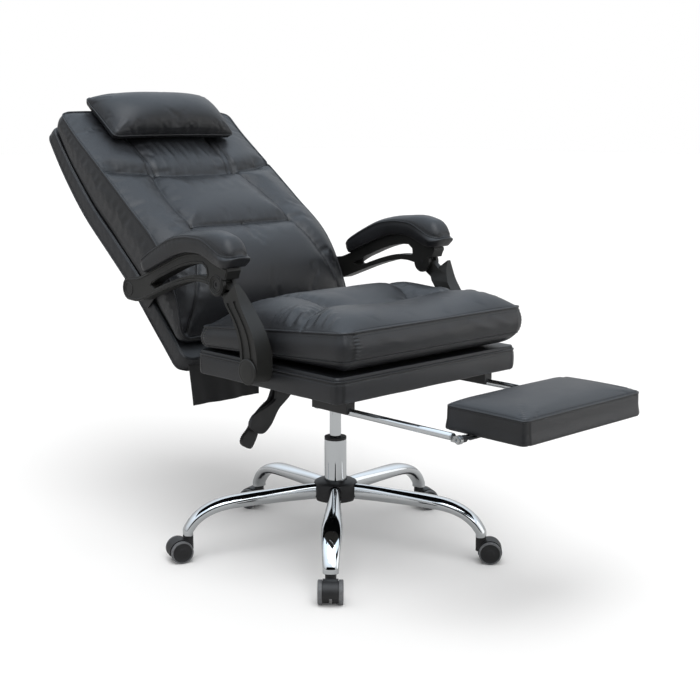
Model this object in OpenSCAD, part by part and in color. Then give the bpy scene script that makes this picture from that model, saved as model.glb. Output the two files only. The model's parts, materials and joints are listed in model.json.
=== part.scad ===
// Reclining office chair with a fold-away footrest, in millimetres.
// The origin lies on the floor under the column. The chair faces -Y, +Z is up,
// and the sitter's right side is -X. The chair stands fully reclined, footrest out.

/* [Seat] */
// Width of the seat base
seat_w = 540; // [520:1:580]
// How far the front of the seat base stands before the column
seat_front = 297; // [285:1:310]
// How far the rear of the seat base stands behind the column
seat_rear = 148; // [140:1:152]
// Height of the underside of the seat base above the floor
seat_z = 417; // [410:1:440]
// Height of the upholstered seat base
base_h = 55; // [50:1:62]
// Height of the seat cushion at its front seam
cushion_h = 88; // [76:1:96]
// Height of the seat cushion at its rear seam
cushion_rear_h = 50; // [42:1:56]
// Rise of the crown of the seat cushion above its seam
cushion_crown = 58; // [30:1:58]
// Thickness of the plywood seat board
board_t = 12; // [9:1:15]

/* [Back] */
// Lean of the backrest from upright, fully reclined
back_lean = 44.5; // [40:0.5:46]
// Width of the backrest
back_w = 512; // [490:1:518]
// Height of the top edge of the backrest above its hinge, along the back
back_top = 757; // [725:1:785]
// Height of the lowest edge of the rear shell above the hinge, along the back
back_low = 20; // [18:1:30]
// Distance of the hinge behind the seat base
hinge_gap = 42; // [40:1:48]
// Height of the hinge above the underside of the seat base
hinge_rise = 13; // [10:1:16]
// Thickness of the upholstered rear shell
shell_t = 45; // [40:1:50]
// Rise of the lumbar bulge of the back cushion before the hinge line
lumbar = 132; // [115:1:136]
// Width of the head pillow
pillow_w = 368; // [330:1:410]
// Height of the head pillow
pillow_h = 152; // [130:1:165]
// Thickness of the head pillow
pillow_t = 58; // [45:1:66]

/* [Armrests] */
// Distance of the outer faces of the arm frames from the side of the seat base
arm_gap = 54; // [54:1:66]
// Least distance of the outer faces of the arm frames from the side of the backrest
arm_back_gap = 68; // [68:1:80]
// Thickness of the arm frame
frame_t = 34; // [32:1:38]
// Thickness of the arm support
support_t = 41; // [39:1:42]
// Width of the arm pad
pad_w = 66; // [58:1:70]
// Height of the arm pad at its middle
pad_h = 48; // [40:1:54]
// Distance of the low pivot of the arm support before the column
low_pivot_front = 91; // [88:1:96]
// Height of the low pivot above the underside of the seat base
low_pivot_rise = 46; // [36:1:48]
// Horizontal run of the arm support between its pivots
support_run = 101; // [98:1:104]
// Height of the arm support between its pivots
support_rise = 167; // [162:1:172]
// Horizontal span of the arm frame between its pivots
arm_span = 316; // [313:1:319]
// Drop of the arm frame from its front pivot to its rear pivot
arm_drop = 38; // [35:1:41]
// Rise of the arm rail above the front pivot
rail_rise = 61; // [58:1:66]

/* [Footrest] */
// Width of the footrest pad
foot_w = 358; // [330:1:372]
// Depth of the footrest pad
foot_d = 189; // [170:1:195]
// Height of the footrest pad at its seam
foot_h = 57; // [50:1:60]
// Distance of the rear edge of the footrest pad before the seat base
foot_reach = 196; // [192:1:212]
// Distance of the footrest rods beside the footrest pad
rod_side = 31; // [28:1:34]
// Outside diameter of the footrest rods
rod_d = 14.5; // [13:0.5:17]
// Drop of the rods below the underside of the seat base
rod_drop = 25; // [23:1:28]

/* [Base] */
// Distance of the caster stems from the column
leg_reach = 341; // [325:1:352]
// Height of the middle of the legs at the hub
leg_z = 132; // [125:1:136]
// Width of a leg at its widest
leg_w = 43; // [38:1:46]
// Height of a leg at the hub
leg_h = 36; // [32:1:38]
// Turn of the first leg from the front towards the sitter's right
leg_turn = 44.65; // [0:0.05:71]
// Outside diameter of the column tube
column_d = 50; // [48:0.5:54]
// Height of the top of the column tube above the floor
column_top = 251; // [248:1:256]
// Outside diameter of the gas cylinder
piston_d = 26; // [25:0.5:30]

/* [Casters] */
// Diameter of the caster wheels
wheel_d = 50; // [46:1:51]
// Distance of the wheel axle behind the caster stem
trail = 20; // [18:0.5:22]
// Overall width of a caster
caster_w = 52.4; // [50:0.2:56]

/* [Hidden] */

// Fits shared by many pieces
run_fit = 0.05;    // radial clearance of a pin that turns or slides in its bore
seat_fit = 0.3;    // gap where one piece rests against another
over = 2;          // overrun of every cut
weld_in = 0.5;     // reach of a welded piece into its neighbour
plate_t = 3;       // steel plate
round_n = 64;      // facets of round work
$fn = round_n;

// Places worked out from the driving sizes
base_top = seat_z + base_h;
hinge_y = seat_rear + hinge_gap;
hinge_z = seat_z + hinge_rise;
low_pivot = [-low_pivot_front, seat_z + low_pivot_rise];
front_pivot = low_pivot + [support_run, support_rise];
rear_pivot = front_pivot + [arm_span, -arm_drop];
wheel_r = wheel_d / 2;
arm_out = max(seat_w / 2 + arm_gap, back_w / 2 + arm_back_gap);

// Points on a smooth line through the given ones, n steps between neighbours
function smooth(p, n) = concat([for (i = [0 : len(p) - 2], k = [0 : n - 1])
    let (a = p[max(i - 1, 0)], b = p[i], c = p[i + 1], d = p[min(i + 2, len(p) - 1)], t = k / n)
    (2 * b + (c - a) * t + (2 * a - 5 * b + 4 * c - d) * t * t
        + (3 * b - a - 3 * c + d) * t * t * t) / 2], [p[len(p) - 1]]);

// Points of an arc about c from angle a to angle b
function arc(c, r, a, b, n) = [for (k = [0 : n]) let (f = a + (b - a) * k / n) c + r * [cos(f), sin(f)]];

// Points given as shares of two sizes, from an origin
function scaled(shares, o, sy, sz) = [for (s = shares) o + [s[0] * sy, s[1] * sz]];

// Value at x on a curve of [x, value] pairs, eased between them
function eased(t, x) = let (n = len(t) - 1)
    x <= t[0][0] ? t[0][1] : x >= t[n][0] ? t[n][1] :
    let (i = max([for (k = [0 : n - 1]) t[k][0] <= x ? k : 0]), a = t[max(i - 1, 0)], b = t[i],
        c = t[i + 1], d = t[min(i + 2, n)], w = c[0] - b[0], s = (x - b[0]) / w,
        ma = (c[1] - a[1]) / (c[0] - a[0]) * w, mb = (d[1] - b[1]) / (d[0] - b[0]) * w)
    (1 + 2 * s) * (1 - s) * (1 - s) * b[1] + s * (1 - s) * (1 - s) * ma
        + s * s * (3 - 2 * s) * c[1] + s * s * (s - 1) * mb;

// Distance of a point from a stretch and from a line of points
function off_stretch(p, a, b) = let (d = b - a, t = max(0, min(1, (p - a) * d / (d * d))))
    norm(p - a - t * d);
function off_line(p, l) = min([for (i = [0 : len(l) - 2]) off_stretch(p, l[i], l[i + 1])]);

// A sewn channel: 1 on its line, falling to 0 within about its width
function sewn(dist, w) = exp(-pow(dist / w, 2));

// Distance that a rounded corner of radius r draws a side in, at s from the end
function drawn(s, r) = s >= r ? 0 : r - sqrt(r * r - (r - s) * (r - s));

// Edge of a grid as [u, v], counter-clockwise
function grid_edge(us, vs) = let (nu = len(us) - 1, nv = len(vs) - 1)
    concat([for (i = [0 : nu - 1]) [i, 0]], [for (j = [0 : nv - 1]) [nu, j]],
        [for (i = [nu : -1 : 1]) [i, nv]], [for (j = [nv : -1 : 1]) [0, j]]);

// A padded body: a grid face, rims around it one below the other, and a closing point.
// face and each rim are functions of u and v, seen with u to the right and v upwards.
module padded_body(us, vs, face, rims, hub) {
    nu = len(us);
    edge = grid_edge(us, vs);
    n = len(edge);
    first = nu * len(vs);
    corner = [for (e = edge) e[1] * nu + e[0]];
    ring = function(r, k) r == 0 ? corner[k % n] : first + (r - 1) * n + k % n;
    last = first + len(rims) * n;
    polyhedron(
        points = concat([for (v = vs, u = us) face(u, v)],
            [for (rim = rims, e = edge) rim(us[e[0]], vs[e[1]])], [hub]),
        faces = concat(
            [for (j = [0 : len(vs) - 2], i = [0 : nu - 2], s = [0, 1])
                let (a = j * nu + i) s == 0 ? [a, a + nu, a + nu + 1] : [a, a + nu + 1, a + 1]],
            [for (r = [0 : len(rims) - 1], k = [0 : n - 1], s = [0, 1])
                s == 0 ? [ring(r, k), ring(r, k + 1), ring(r + 1, k + 1)]
                    : [ring(r, k), ring(r + 1, k + 1), ring(r + 1, k)]],
            [for (k = [0 : n - 1]) [ring(len(rims), k), ring(len(rims), k + 1), last]]),
        convexity = 6);
}

// A tube or bar: rings of points one after another, closed at both ends
module skinned(rings) {
    m = len(rings[0]);
    polyhedron(
        points = [for (r = rings, p = r) p],
        faces = concat([[for (k = [0 : m - 1]) k]],
            [[for (k = [m - 1 : -1 : 0]) (len(rings) - 1) * m + k]],
            [for (i = [0 : len(rings) - 2], k = [0 : m - 1], s = [0, 1])
                let (a = i * m + k, b = i * m + (k + 1) % m)
                s == 0 ? [a, a + m, b + m] : [a, b + m, b]]),
        convexity = 6);
}

// A box whose lowest corner and size are given
module block(p, s) { translate(p) cube(s); }

// An outline in the Y and Z plane, as thick as t in X from x
module side_plate(points, x, t) {
    translate([x, 0, 0]) rotate([90, 0, 90]) linear_extrude(t) polygon(points);
}

// A round bar along X from x, at [y, z]
module bar_x(x, yz, r, l) { translate([x, yz[0], yz[1]]) rotate([0, 90, 0]) cylinder(r = r, h = l); }

// Both sides of the chair
module each_side() {
    children();
    mirror([1, 0, 0]) children();
}

// Base: a hub with five hollow legs and a moulded cover
hub_r = 30;
hub_h = 40;
column_r = column_d / 2;
column_wall = 1.5;
hub_low = leg_z - hub_h / 2;
leg_wall = 1.8;
leg_end_z = 57;
leg_sides = 12;
// along the leg: share of the reach, share of the drop, share of the width, share of the height
leg_shares = [[0.07, 1, 0.56, 1], [0.237, 0.993, 0.63, 0.96], [0.414, 0.965, 0.75, 0.89],
    [0.592, 0.93, 0.91, 0.83], [0.725, 0.885, 1, 0.78], [0.814, 0.8, 1, 0.72],
    [0.888, 0.655, 0.94, 0.67], [0.947, 0.455, 0.86, 0.64], [0.982, 0.265, 0.8, 0.62],
    [1, 0.12, 0.77, 0.61], [1, 0, 0.77, 0.61]];
cover_r = 51;
cover_low = 113;
cover_wall = 3;
cover_top = leg_z + hub_h / 2 + seat_fit + cover_wall;
cover_shoulder = 9;
cover_bevel = 4;
cover_play = 1;
notch_play = 1.2;

function leg_point(i) = let (s = leg_shares[i]) [s[0] * leg_reach, leg_end_z + s[1] * (leg_z - leg_end_z)];

// Ring of the leg's section at station i, thinner by d all round, moved along by m
function leg_ring(i, d, m) = let (n = len(leg_shares) - 1, p = leg_point(i),
    q = leg_point(min(i + 1, n)) - leg_point(max(i - 1, 0)), t = q / norm(q),
    a = leg_shares[i][2] * leg_w / 2 - d, b = leg_shares[i][3] * leg_h / 2 - d)
    [for (k = [0 : leg_sides - 1]) let (f = 360 * k / leg_sides, c = cos(f), s = sin(f),
        ca = sign(c) * pow(abs(c), 0.8) * a, sb = sign(s) * pow(abs(s), 0.8) * b)
        [p[0] - t[1] * sb + t[0] * m, ca, p[1] + t[0] * sb + t[1] * m]];

function leg_yaw(k) = -90 - leg_turn + 72 * (k - 1);

module base_hub() {
    color("silver") difference() {
        translate([0, 0, hub_low]) cylinder(r = hub_r, h = hub_h);
        translate([0, 0, hub_low - over]) cylinder(r = column_r + run_fit, h = hub_h + 2 * over);
    }
}

module base_arm(k) {
    n = len(leg_shares) - 1;
    color("gainsboro") rotate([0, 0, leg_yaw(k)]) difference() {
        skinned([for (i = [0 : n]) leg_ring(i, 0, 0)]);
        skinned([for (i = [0 : n]) leg_ring(i, leg_wall, i == 0 ? -over : i == n ? over : 0)]);
        translate([0, 0, hub_low - over]) cylinder(r = hub_r + run_fit, h = hub_h + 2 * over);
    }
}

module hub_cover() {
    notch_r = leg_w * leg_shares[0][2] / 2 + notch_play;
    notch_top = leg_z + leg_h / 2 + seat_fit - notch_r + cover_play;
    shoulder_r = cover_r - cover_shoulder;
    shoulder_z = cover_top - cover_shoulder - cover_bevel;
    color("dimgray") difference() {
        rotate_extrude() polygon([[hub_r + cover_play, cover_low], [cover_r - cover_bevel / 2, cover_low],
            [cover_r, cover_low + cover_bevel], [cover_r, shoulder_z],
            [cover_r - cover_wall, cover_top - cover_bevel], [shoulder_r, cover_top - cover_play],
            [column_r + cover_shoulder, cover_top], [column_r + cover_play, cover_top + cover_wall / 2],
            [column_r + cover_play, cover_top - cover_wall], [shoulder_r, cover_top - cover_wall],
            [cover_r - cover_wall, shoulder_z], [cover_r - cover_wall, cover_low + 2 * cover_wall],
            [hub_r + cover_play, cover_low + 2 * cover_wall]]);
        for (k = [1 : 5]) rotate([0, 0, leg_yaw(k)]) {
            block([0, -notch_r, cover_low - over],
                [cover_r + over, 2 * notch_r, notch_top - cover_low + over]);
            translate([0, 0, notch_top]) rotate([0, 90, 0]) cylinder(r = notch_r, h = cover_r + over);
        }
    }
}

// Gas lift: a tube in the hub, its guide collar, the inner rod and the cylinder that rises
tube_low = hub_low;
rod_r = 5;
rod_head_r = 11;
rod_head_z = 228;
rod_head_h = 10;
clip_r = 9;
clip_t = 2.5;
collar_sleeve = 56;
collar_h = 6;
gas_low = 200;
gas_top = 372;
gas_bore = 11.2;
gas_bore_top = 330;
gas_seal = 4;
piston_r = piston_d / 2;

module column_tube() {
    color("gainsboro") difference() {
        translate([0, 0, tube_low]) cylinder(r = column_r, h = column_top - tube_low);
        translate([0, 0, tube_low + plate_t]) cylinder(r = column_r - column_wall, h = column_top);
        translate([0, 0, tube_low - over]) cylinder(r = rod_r + run_fit, h = plate_t + 2 * over);
    }
}

module column_collar() {
    color("black") difference() {
        union() {
            translate([0, 0, column_top - collar_sleeve])
                cylinder(r = column_r - column_wall - run_fit, h = collar_sleeve + collar_h);
            translate([0, 0, column_top]) cylinder(r = column_r, h = collar_h);
        }
        translate([0, 0, column_top - collar_sleeve - over])
            cylinder(r = piston_r + run_fit, h = collar_sleeve + collar_h + 2 * over);
    }
}

module gas_rod() {
    color("silver") {
        translate([0, 0, tube_low - clip_t])
            cylinder(r = rod_r, h = rod_head_z + rod_head_h - tube_low + clip_t);
        translate([0, 0, tube_low - clip_t]) cylinder(r = clip_r, h = clip_t);
        translate([0, 0, tube_low + plate_t]) cylinder(r = clip_r, h = clip_t);
        translate([0, 0, rod_head_z]) cylinder(r = rod_head_r, h = rod_head_h);
    }
}

module gas_cylinder() {
    color("gainsboro") difference() {
        translate([0, 0, gas_low]) cylinder(r = piston_r, h = gas_top - gas_low);
        translate([0, 0, gas_low + gas_seal])
            cylinder(r = gas_bore, h = gas_bore_top - gas_low - gas_seal);
        translate([0, 0, gas_low - over]) cylinder(r = rod_r + run_fit, h = gas_seal + 2 * over);
    }
}

// Casters: a hood with its stem and axle, and two wheels
stem_r = 5;
stem_grip = 12;
stem_rise = 18;
socket_r = 7;
axle_r = 3;
web_t = 5;
fender_play = 1.5;
fender_r = wheel_r + fender_play;
fender_t = 3;
fender_w = 32;
neck_r = 11.5;
fender_cut_angle = 12;
stem_low = wheel_r + stem_rise;
wheel_play = 0.6;
wheel_in = web_t / 2 + wheel_play;
wheel_step = fender_w / 2 + wheel_play;
tread_t = 2.5;
wheel_low_r = wheel_r - tread_t;
wheel_edge = 1.6;
hood_top = leg_end_z - seat_fit;
// direction that each caster trails, as the photographed ones stand
caster_yaw = [226, 312, 336, 108, 160];

module caster_place(k) {
    a = leg_yaw(k);
    translate([leg_reach * cos(a), leg_reach * sin(a), 0]) rotate([0, 0, caster_yaw[k - 1]]) children();
}

module caster_sockets() {
    color("dimgray") for (k = [1 : 5]) rotate([0, 0, leg_yaw(k)]) translate([leg_reach, 0, leg_end_z])
        difference() {
            cylinder(r = socket_r, h = stem_grip);
            translate([0, 0, -over]) cylinder(r = stem_r + run_fit, h = stem_grip + 2 * over);
        }
}

// A cylinder across the caster, about the axle
module across(r, w) {
    translate([trail, -w / 2, wheel_r]) rotate([-90, 0, 0]) cylinder(r = r, h = w);
}

module caster_hood(k) {
    low_cut = wheel_r - fender_r * sin(fender_cut_angle);
    caster_place(k) {
        color("black") difference() {
            union() {
                intersection() {
                    across(fender_r, fender_w);
                    block([-fender_r, -fender_w, low_cut], [4 * fender_r, 2 * fender_w, fender_r * 2]);
                }
                translate([0, 0, wheel_r]) cylinder(r = neck_r, h = hood_top - wheel_r);
            }
            difference() {
                across(fender_r - fender_t, fender_w + over);
                across(fender_r, web_t);
            }
            translate([0, 0, stem_low]) cylinder(r = stem_r + run_fit, h = hood_top);
            across(axle_r + run_fit, caster_w);
        }
        color("silver") {
            translate([0, 0, stem_low + seat_fit])
                cylinder(r = stem_r, h = leg_end_z + stem_grip - stem_low - seat_fit);
            across(axle_r, caster_w - 6 * wheel_edge);
        }
    }
}

module caster_wheel(k, side) {
    face = caster_w / 2;
    caster_place(k) color("gray") translate([trail, 0, wheel_r])
        rotate([side * 90, 0, 0]) rotate_extrude() polygon([[axle_r + run_fit, wheel_in],
            [wheel_low_r, wheel_in], [wheel_low_r, wheel_step], [wheel_r - wheel_edge * 0.25, wheel_step],
            [wheel_r, wheel_step + wheel_edge], [wheel_r, face - wheel_edge],
            [wheel_r - wheel_edge, face], [wheel_r - 2 * wheel_edge, face - wheel_edge * 0.2],
            [wheel_r - 2.5 * wheel_edge, face - wheel_edge * 0.6], [0, face - wheel_edge * 0.4],
            [0, face - 2.5 * wheel_edge],
            [axle_r + run_fit, face - 2.5 * wheel_edge]]);
}

// Mechanism under the seat
mech_half_w = 95;
mech_front = 130;
mech_rear = 140;
mech_lip = 24;
ear_in = 34;
ear_t = 5;
ear_front = 60;
ear_low = 20;
ear_r = 17;
ear_heel = 6;
ear_end_angle = 175;
pin_r = 6;
pin_head_r = 10;
pin_head_t = 4;
mech_top = seat_z - seat_fit;
mech_z = mech_top - plate_t;
socket_low = 345;
socket_low_r = 20;
socket_top_r = 34;
socket_flange_w = 8;
socket_flange_t = 6;
screw_r = 3;
screw_head_r = 6.5;
screw_head_t = 3;
screw_x = 80;
screw_y = 112;
lever_pin_r = 3;
lever_hub_r = 7;
lever_hub_w = 10;
lever_t = 9;
lever_ear_t = 3;
lever_ear_r = 9;
lever_x = -76;
lever_drop = 13;
height_lever_y = 28;
recline_lever_y = 46;
lever_z = mech_z - lever_drop;

module mechanism_plate() {
    ear = concat([[ear_front, mech_z + weld_in], [ear_front, mech_z - ear_low]],
        arc([hinge_y, hinge_z], ear_r, -90, ear_end_angle, 20), [[seat_rear + ear_heel, mech_z + weld_in]]);
    lip_w = mech_half_w - ear_in - ear_t - over;
    pin_l = lever_hub_w + 2 * (lever_ear_t + run_fit + over);
    color("dimgray") difference() {
        union() {
            block([-mech_half_w, -mech_front, mech_z], [2 * mech_half_w, mech_front + mech_rear, plate_t]);
            for (y = [-mech_front, mech_rear - plate_t])
                for (x = [-mech_half_w, ear_in + ear_t + over])
                    block([x, y, mech_z - mech_lip], [lip_w, plate_t, mech_lip + weld_in]);
            for (x = [-ear_in - ear_t, ear_in]) side_plate(ear, x, ear_t);
            for (y = [height_lever_y, recline_lever_y]) for (s = [-1, 1])
                translate([lever_x, y + s * (lever_hub_w / 2 + run_fit + lever_ear_t / 2), 0]) {
                    block([-lever_ear_r, -lever_ear_t / 2, lever_z],
                        [2 * lever_ear_r, lever_ear_t, lever_drop + weld_in]);
                    translate([0, lever_ear_t / 2, lever_z]) rotate([90, 0, 0])
                        cylinder(r = lever_ear_r, h = lever_ear_t);
                }
        }
        bar_x(-ear_in - ear_t - over, [hinge_y, hinge_z], pin_r + run_fit, 2 * (ear_in + ear_t + over));
        for (y = [height_lever_y, recline_lever_y]) translate([lever_x, y + pin_l / 2, lever_z])
            rotate([90, 0, 0]) cylinder(r = lever_pin_r + run_fit, h = pin_l);
        for (x = [-screw_x, screw_x]) for (y = [-screw_y, screw_y])
            translate([x, y, mech_z - over]) cylinder(r = screw_r + run_fit, h = plate_t + 2 * over);
        translate([0, 0, mech_z - over]) cylinder(r = rod_r, h = plate_t + 2 * over);
    }
}

module mechanism_socket() {
    color("dimgray") difference() {
        union() {
            translate([0, 0, socket_low])
                cylinder(r1 = socket_low_r, r2 = socket_top_r, h = mech_z - socket_low);
            translate([0, 0, mech_z - socket_flange_t])
                cylinder(r = socket_top_r + socket_flange_w, h = socket_flange_t);
        }
        translate([0, 0, socket_low - over])
            cylinder(r = piston_r + run_fit, h = gas_top + seat_fit - socket_low + over);
        translate([0, 0, socket_low]) cylinder(r = rod_r, h = mech_z);
    }
}

module seat_screws() {
    color("silver") for (x = [-screw_x, screw_x]) for (y = [-screw_y, screw_y])
        translate([x, y, mech_z - screw_head_t - seat_fit]) {
            difference() {
                cylinder(r = screw_head_r, h = screw_head_t);
                translate([0, 0, -over]) cylinder(r = screw_r, h = screw_head_t / 2 + over, $fn = 6);
            }
            cylinder(r = screw_r, h = screw_head_t + plate_t + board_t);
        }
}

module recline_pin() {
    l = 2 * (ear_in + ear_t + run_fit);
    color("silver") {
        bar_x(-l / 2, [hinge_y, hinge_z], pin_r, l);
        bar_x(-l / 2 - pin_head_t, [hinge_y, hinge_z], pin_head_r, pin_head_t);
        bar_x(l / 2, [hinge_y, hinge_z], pin_head_r, pin_head_t);
    }
}

// Levers under the sitter's right side
lever_len = 150;
lever_end_drop = 143;
// outlines of the two levers as shares of the length and of the drop, from the pivot
height_lever_shares = [[0.04, -0.03], [0, 0.05], [-0.12, 0.12], [-0.29, 0.29], [-0.44, 0.4],
    [-0.52, 0.5], [-0.6, 0.63], [-0.7, 0.73], [-0.79, 0.765], [-0.9, 0.73],
    [-0.99, 0.645], [-1, 0.56], [-0.93, 0.46],
    [-0.8, 0.4], [-0.62, 0.34], [-0.52, 0.27], [-0.5, 0.17], [-0.44, 0.06], [-0.3, -0.01], [-0.1, -0.04]];
recline_lever_shares = [[0.04, -0.03], [0, 0.05], [-0.14, 0.14], [-0.34, 0.31], [-0.5, 0.42],
    [-0.62, 0.56], [-0.74, 0.71], [-0.79, 0.83], [-0.85, 0.94], [-0.91, 1],
    [-0.98, 0.97], [-1.05, 0.92], [-1.07, 0.86],
    [-1.03, 0.78], [-0.93, 0.68], [-0.84, 0.53], [-0.7, 0.4], [-0.55, 0.3], [-0.49, 0.17], [-0.43, 0.07],
    [-0.3, -0.01], [-0.1, -0.04]];

// A hand lever hung at [lever_x, y]: a flat drooping paddle with its hub and stub pins
module hand_lever(y, shares) {
    color("black") translate([lever_x, y, lever_z]) rotate([90, 0, 0]) {
        translate([0, 0, -lever_t / 2]) linear_extrude(lever_t)
            polygon(smooth(scaled(shares, [0, 0], lever_len, -lever_end_drop), 2));
        translate([0, 0, -lever_hub_w / 2]) cylinder(r = lever_hub_r, h = lever_hub_w);
        translate([0, 0, -lever_hub_w / 2 - lever_ear_t])
            cylinder(r = lever_pin_r, h = lever_hub_w + 2 * lever_ear_t);
    }
}

module height_lever() { hand_lever(height_lever_y, height_lever_shares); }
module recline_lever() { hand_lever(recline_lever_y, recline_lever_shares); }

// Seat: a plywood board in an upholstered box, with the cushion on it
board_inset = 14;
base_corner = 14;
cushion_bulge = 7;
seat_us = [-1, -0.93, -0.82, -0.7, -0.57, -0.44, -0.3, -0.15, 0, 0.15, 0.3, 0.44, 0.57, 0.7, 0.82,
    0.93, 1];
seat_vs = [0, 0.025, 0.08, 0.16, 0.26, 0.36, 0.46, 0.56, 0.66, 0.76, 0.86, 0.94, 0.98, 1];
box_us = [-1, -0.96, -0.85, -0.5, 0, 0.5, 0.85, 0.96, 1];
box_vs = [0, 0.02, 0.06, 0.15, 0.5, 0.85, 0.94, 0.98, 1];
base_edge = 5;
base_bulge = 1.5;
cushion_front_out = 16;
cushion_rear_in = 4;
cushion_side_in = 1;
cushion_roll = 26;
cushion_sole = 60;
cushion_front = seat_front + cushion_front_out;
cushion_rear = seat_rear - cushion_rear_in;
cushion_half = seat_w / 2 - cushion_side_in;
cushion_corner = 22;
cushion_lift = 30;
cushion_rear_lift = 8;
cushion_z = base_top + seat_fit;
channel_w = 15;
channel_d = 9;
// shares of the half width and of the depth that the V channels of the seat run through
v_channel_shares = [[0.72, 0.96], [0.52, 0.62], [0.3, 0.5], [0, 0.46]];

// Point of a rounded rectangle at u, v: half width w, from y0 to y1, corner radius r
function plan(u, v, w, y0, y1, r) = let (y = y0 + (y1 - y0) * v, s = min(y - y0, y1 - y))
    [u * (w - drawn(s, r)), y];

function base_point(u, v, d, z) = let (r = base_corner - d,
    p = plan(u, v, seat_w / 2 - d, -seat_front + d, seat_rear - d, r)) [p[0], p[1], z];

module seat_base() {
    color("dimgray") difference() {
        padded_body(box_us, box_vs,
            function(u, v) base_point(u, v, base_edge, base_top),
            [function(u, v) base_point(u, v, 0, base_top - base_edge * 0.8),
                function(u, v) base_point(u, v, -base_bulge, seat_z + base_h / 2),
                function(u, v) base_point(u, v, 0, seat_z + base_edge),
                function(u, v) base_point(u, v, base_edge, seat_z)],
            [0, (seat_rear - seat_front) / 2, seat_z]);
        board_block(seat_fit, over);
        each_side() bracket_block(seat_fit);
        for (x = [-screw_x, screw_x]) for (y = [-screw_y, screw_y])
            translate([x, y, seat_z]) cylinder(r = screw_r + seat_fit, h = board_t + over);
    }
}

// The room of the seat board, larger by d and reaching down by e
module board_block(d, e) {
    block([-seat_w / 2 + board_inset - d, -seat_front + board_inset - d, seat_z - e],
        [seat_w - 2 * board_inset + 2 * d, seat_front + seat_rear - 2 * board_inset + 2 * d,
            board_t + d + e]);
}

module seat_board() {
    color("burlywood") difference() {
        board_block(0, 0);
        for (x = [-screw_x, screw_x]) for (y = [-screw_y, screw_y])
            translate([x, y, seat_z - over]) cylinder(r = screw_r + run_fit, h = board_t + 2 * over);
    }
}

// Height of the seat cushion's top and bottom seams at share v of its depth
function top_seam(v) = cushion_z + cushion_h + (cushion_rear_h - cushion_h) * v;
function low_seam(v) = cushion_z + cushion_lift + (cushion_rear_lift - cushion_lift) * v;
function cushion_plan(u, v, d) = let (r = cushion_corner - d)
    plan(u, v, cushion_half - d, -cushion_front + d, cushion_rear - d, r);

function cushion_top(u, v) = let (p = cushion_plan(u, v, 0),
    path = [for (s = v_channel_shares) s], q = [abs(u), v],
    round = (1 - pow(abs(u), 4.4)) * (1 - pow(abs(2 * v - 1), v < 0.5 ? 4.4 : 3)),
    dip = channel_d * sewn(off_line(q, path) * cushion_half, channel_w) * round)
    [p[0], p[1], top_seam(v) + cushion_crown * round - dip];

function cushion_rim(u, v, d, z) = let (p = cushion_plan(u, v, d)) [p[0], p[1], z];

module seat_cushion() {
    color("#2b2b2d") padded_body(seat_us, seat_vs,
        function(u, v) cushion_top(u, v),
        [function(u, v) cushion_rim(u, v, -cushion_bulge, (top_seam(v) + low_seam(v)) / 2),
            function(u, v) cushion_rim(u, v, 0, low_seam(v)),
            function(u, v) cushion_rim(u, v, cushion_roll, cushion_z + (low_seam(v) - cushion_z) * 0.35),
            function(u, v) cushion_rim(u, v, cushion_sole, cushion_z)],
        [0, (cushion_rear - cushion_front) / 2, cushion_z]);
}

// Brackets in the seat base that carry the low pivots of the armrests
stud_r = 6;
bracket_t = 3;
bracket_w = 44;
bracket_x = seat_w / 2 - board_inset - bracket_t;
bracket_foot = 40;
bracket_room = 6;
stud_wall = 4;
support_in = arm_out - support_t;
stud_end = arm_out - stud_wall;

// The room of one support bracket, larger by d
module bracket_block(d) {
    block([bracket_x - d, low_pivot[0] - bracket_w / 2 - d, seat_z + board_t - d],
        [bracket_t + 2 * d, bracket_w + 2 * d, base_h - board_t - bracket_room + 2 * d]);
    block([bracket_x - bracket_foot - d, low_pivot[0] - bracket_w / 2 - d, seat_z + board_t - d],
        [bracket_foot + 2 * d, bracket_w + 2 * d, bracket_t + 2 * d]);
    bar_x(bracket_x, low_pivot, stud_r + d, seat_w / 2 + over - bracket_x + d);
}

module support_brackets() {
    washer_x = seat_w / 2 + base_bulge + seat_fit;
    stud_x = bracket_x + bracket_t - weld_in;
    color("silver") each_side() {
        translate([0, 0, seat_fit]) difference() {
            bracket_block(0);
            block([bracket_x + bracket_t, low_pivot[0] - bracket_w, seat_z],
                [bracket_w, 2 * bracket_w, base_h]);
        }
        bar_x(stud_x, low_pivot, stud_r, stud_end - stud_x);
        bar_x(washer_x, low_pivot, stud_r * 2.4, support_in - seat_fit - washer_x);
    }
}

// Armrests: a curved support, a moulded frame with its slot, and the pad
boss_r = 24;
boss_angles = [150, 365];
barrel_r = 25;
barrel_boss = 14;
barrel_low_angle = -85;
shoulder_gap = 13;
tongue_t = 16;
tongue_eye_r = 20;
tongue_w = 32;
tongue_fit = 0.5;
arm_pin_r = 5;
pin_cup_r = 10;
pin_cup_t = 5;
pin_head_gap = 1;
pin_socket_t = 3;
rear_stud_r = 6;
open_fit = 2.2;
cap_r = 27;
cap_t = 5;
cap_bevel = 1.5;
groove_t = 2.2;
support_end_r = 26.5;
// edges of the arm support as shares of its run and rise, from the low pivot up
support_front_shares = [[-0.262, 0], [-0.274, 0.11], [-0.257, 0.23], [-0.198, 0.37],
    [-0.1, 0.5], [0.05, 0.64], [0.228, 0.8], [0.396, 1.04]];
support_rear_shares = [[0.262, 0], [0.252, 0.11], [0.26, 0.24], [0.31, 0.39],
    [0.42, 0.54], [0.56, 0.66], [0.7, 0.76], [0.77, 0.83]];
// how far the inner face draws in towards the top: share of the thickness, share of the rise
support_taper_shares = [[-0.1, 0.2], [0, 0.24], [0.2, 0.75], [0.45, 0.92], [0.8, 1.06], [0.8, 1.2],
    [-0.1, 1.2]];
// the two flutes of the arm support, from the rear edge (0) to the front edge (1)
flute_shares = [[0.14, 0.34], [0.6, 0.8]];
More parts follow.
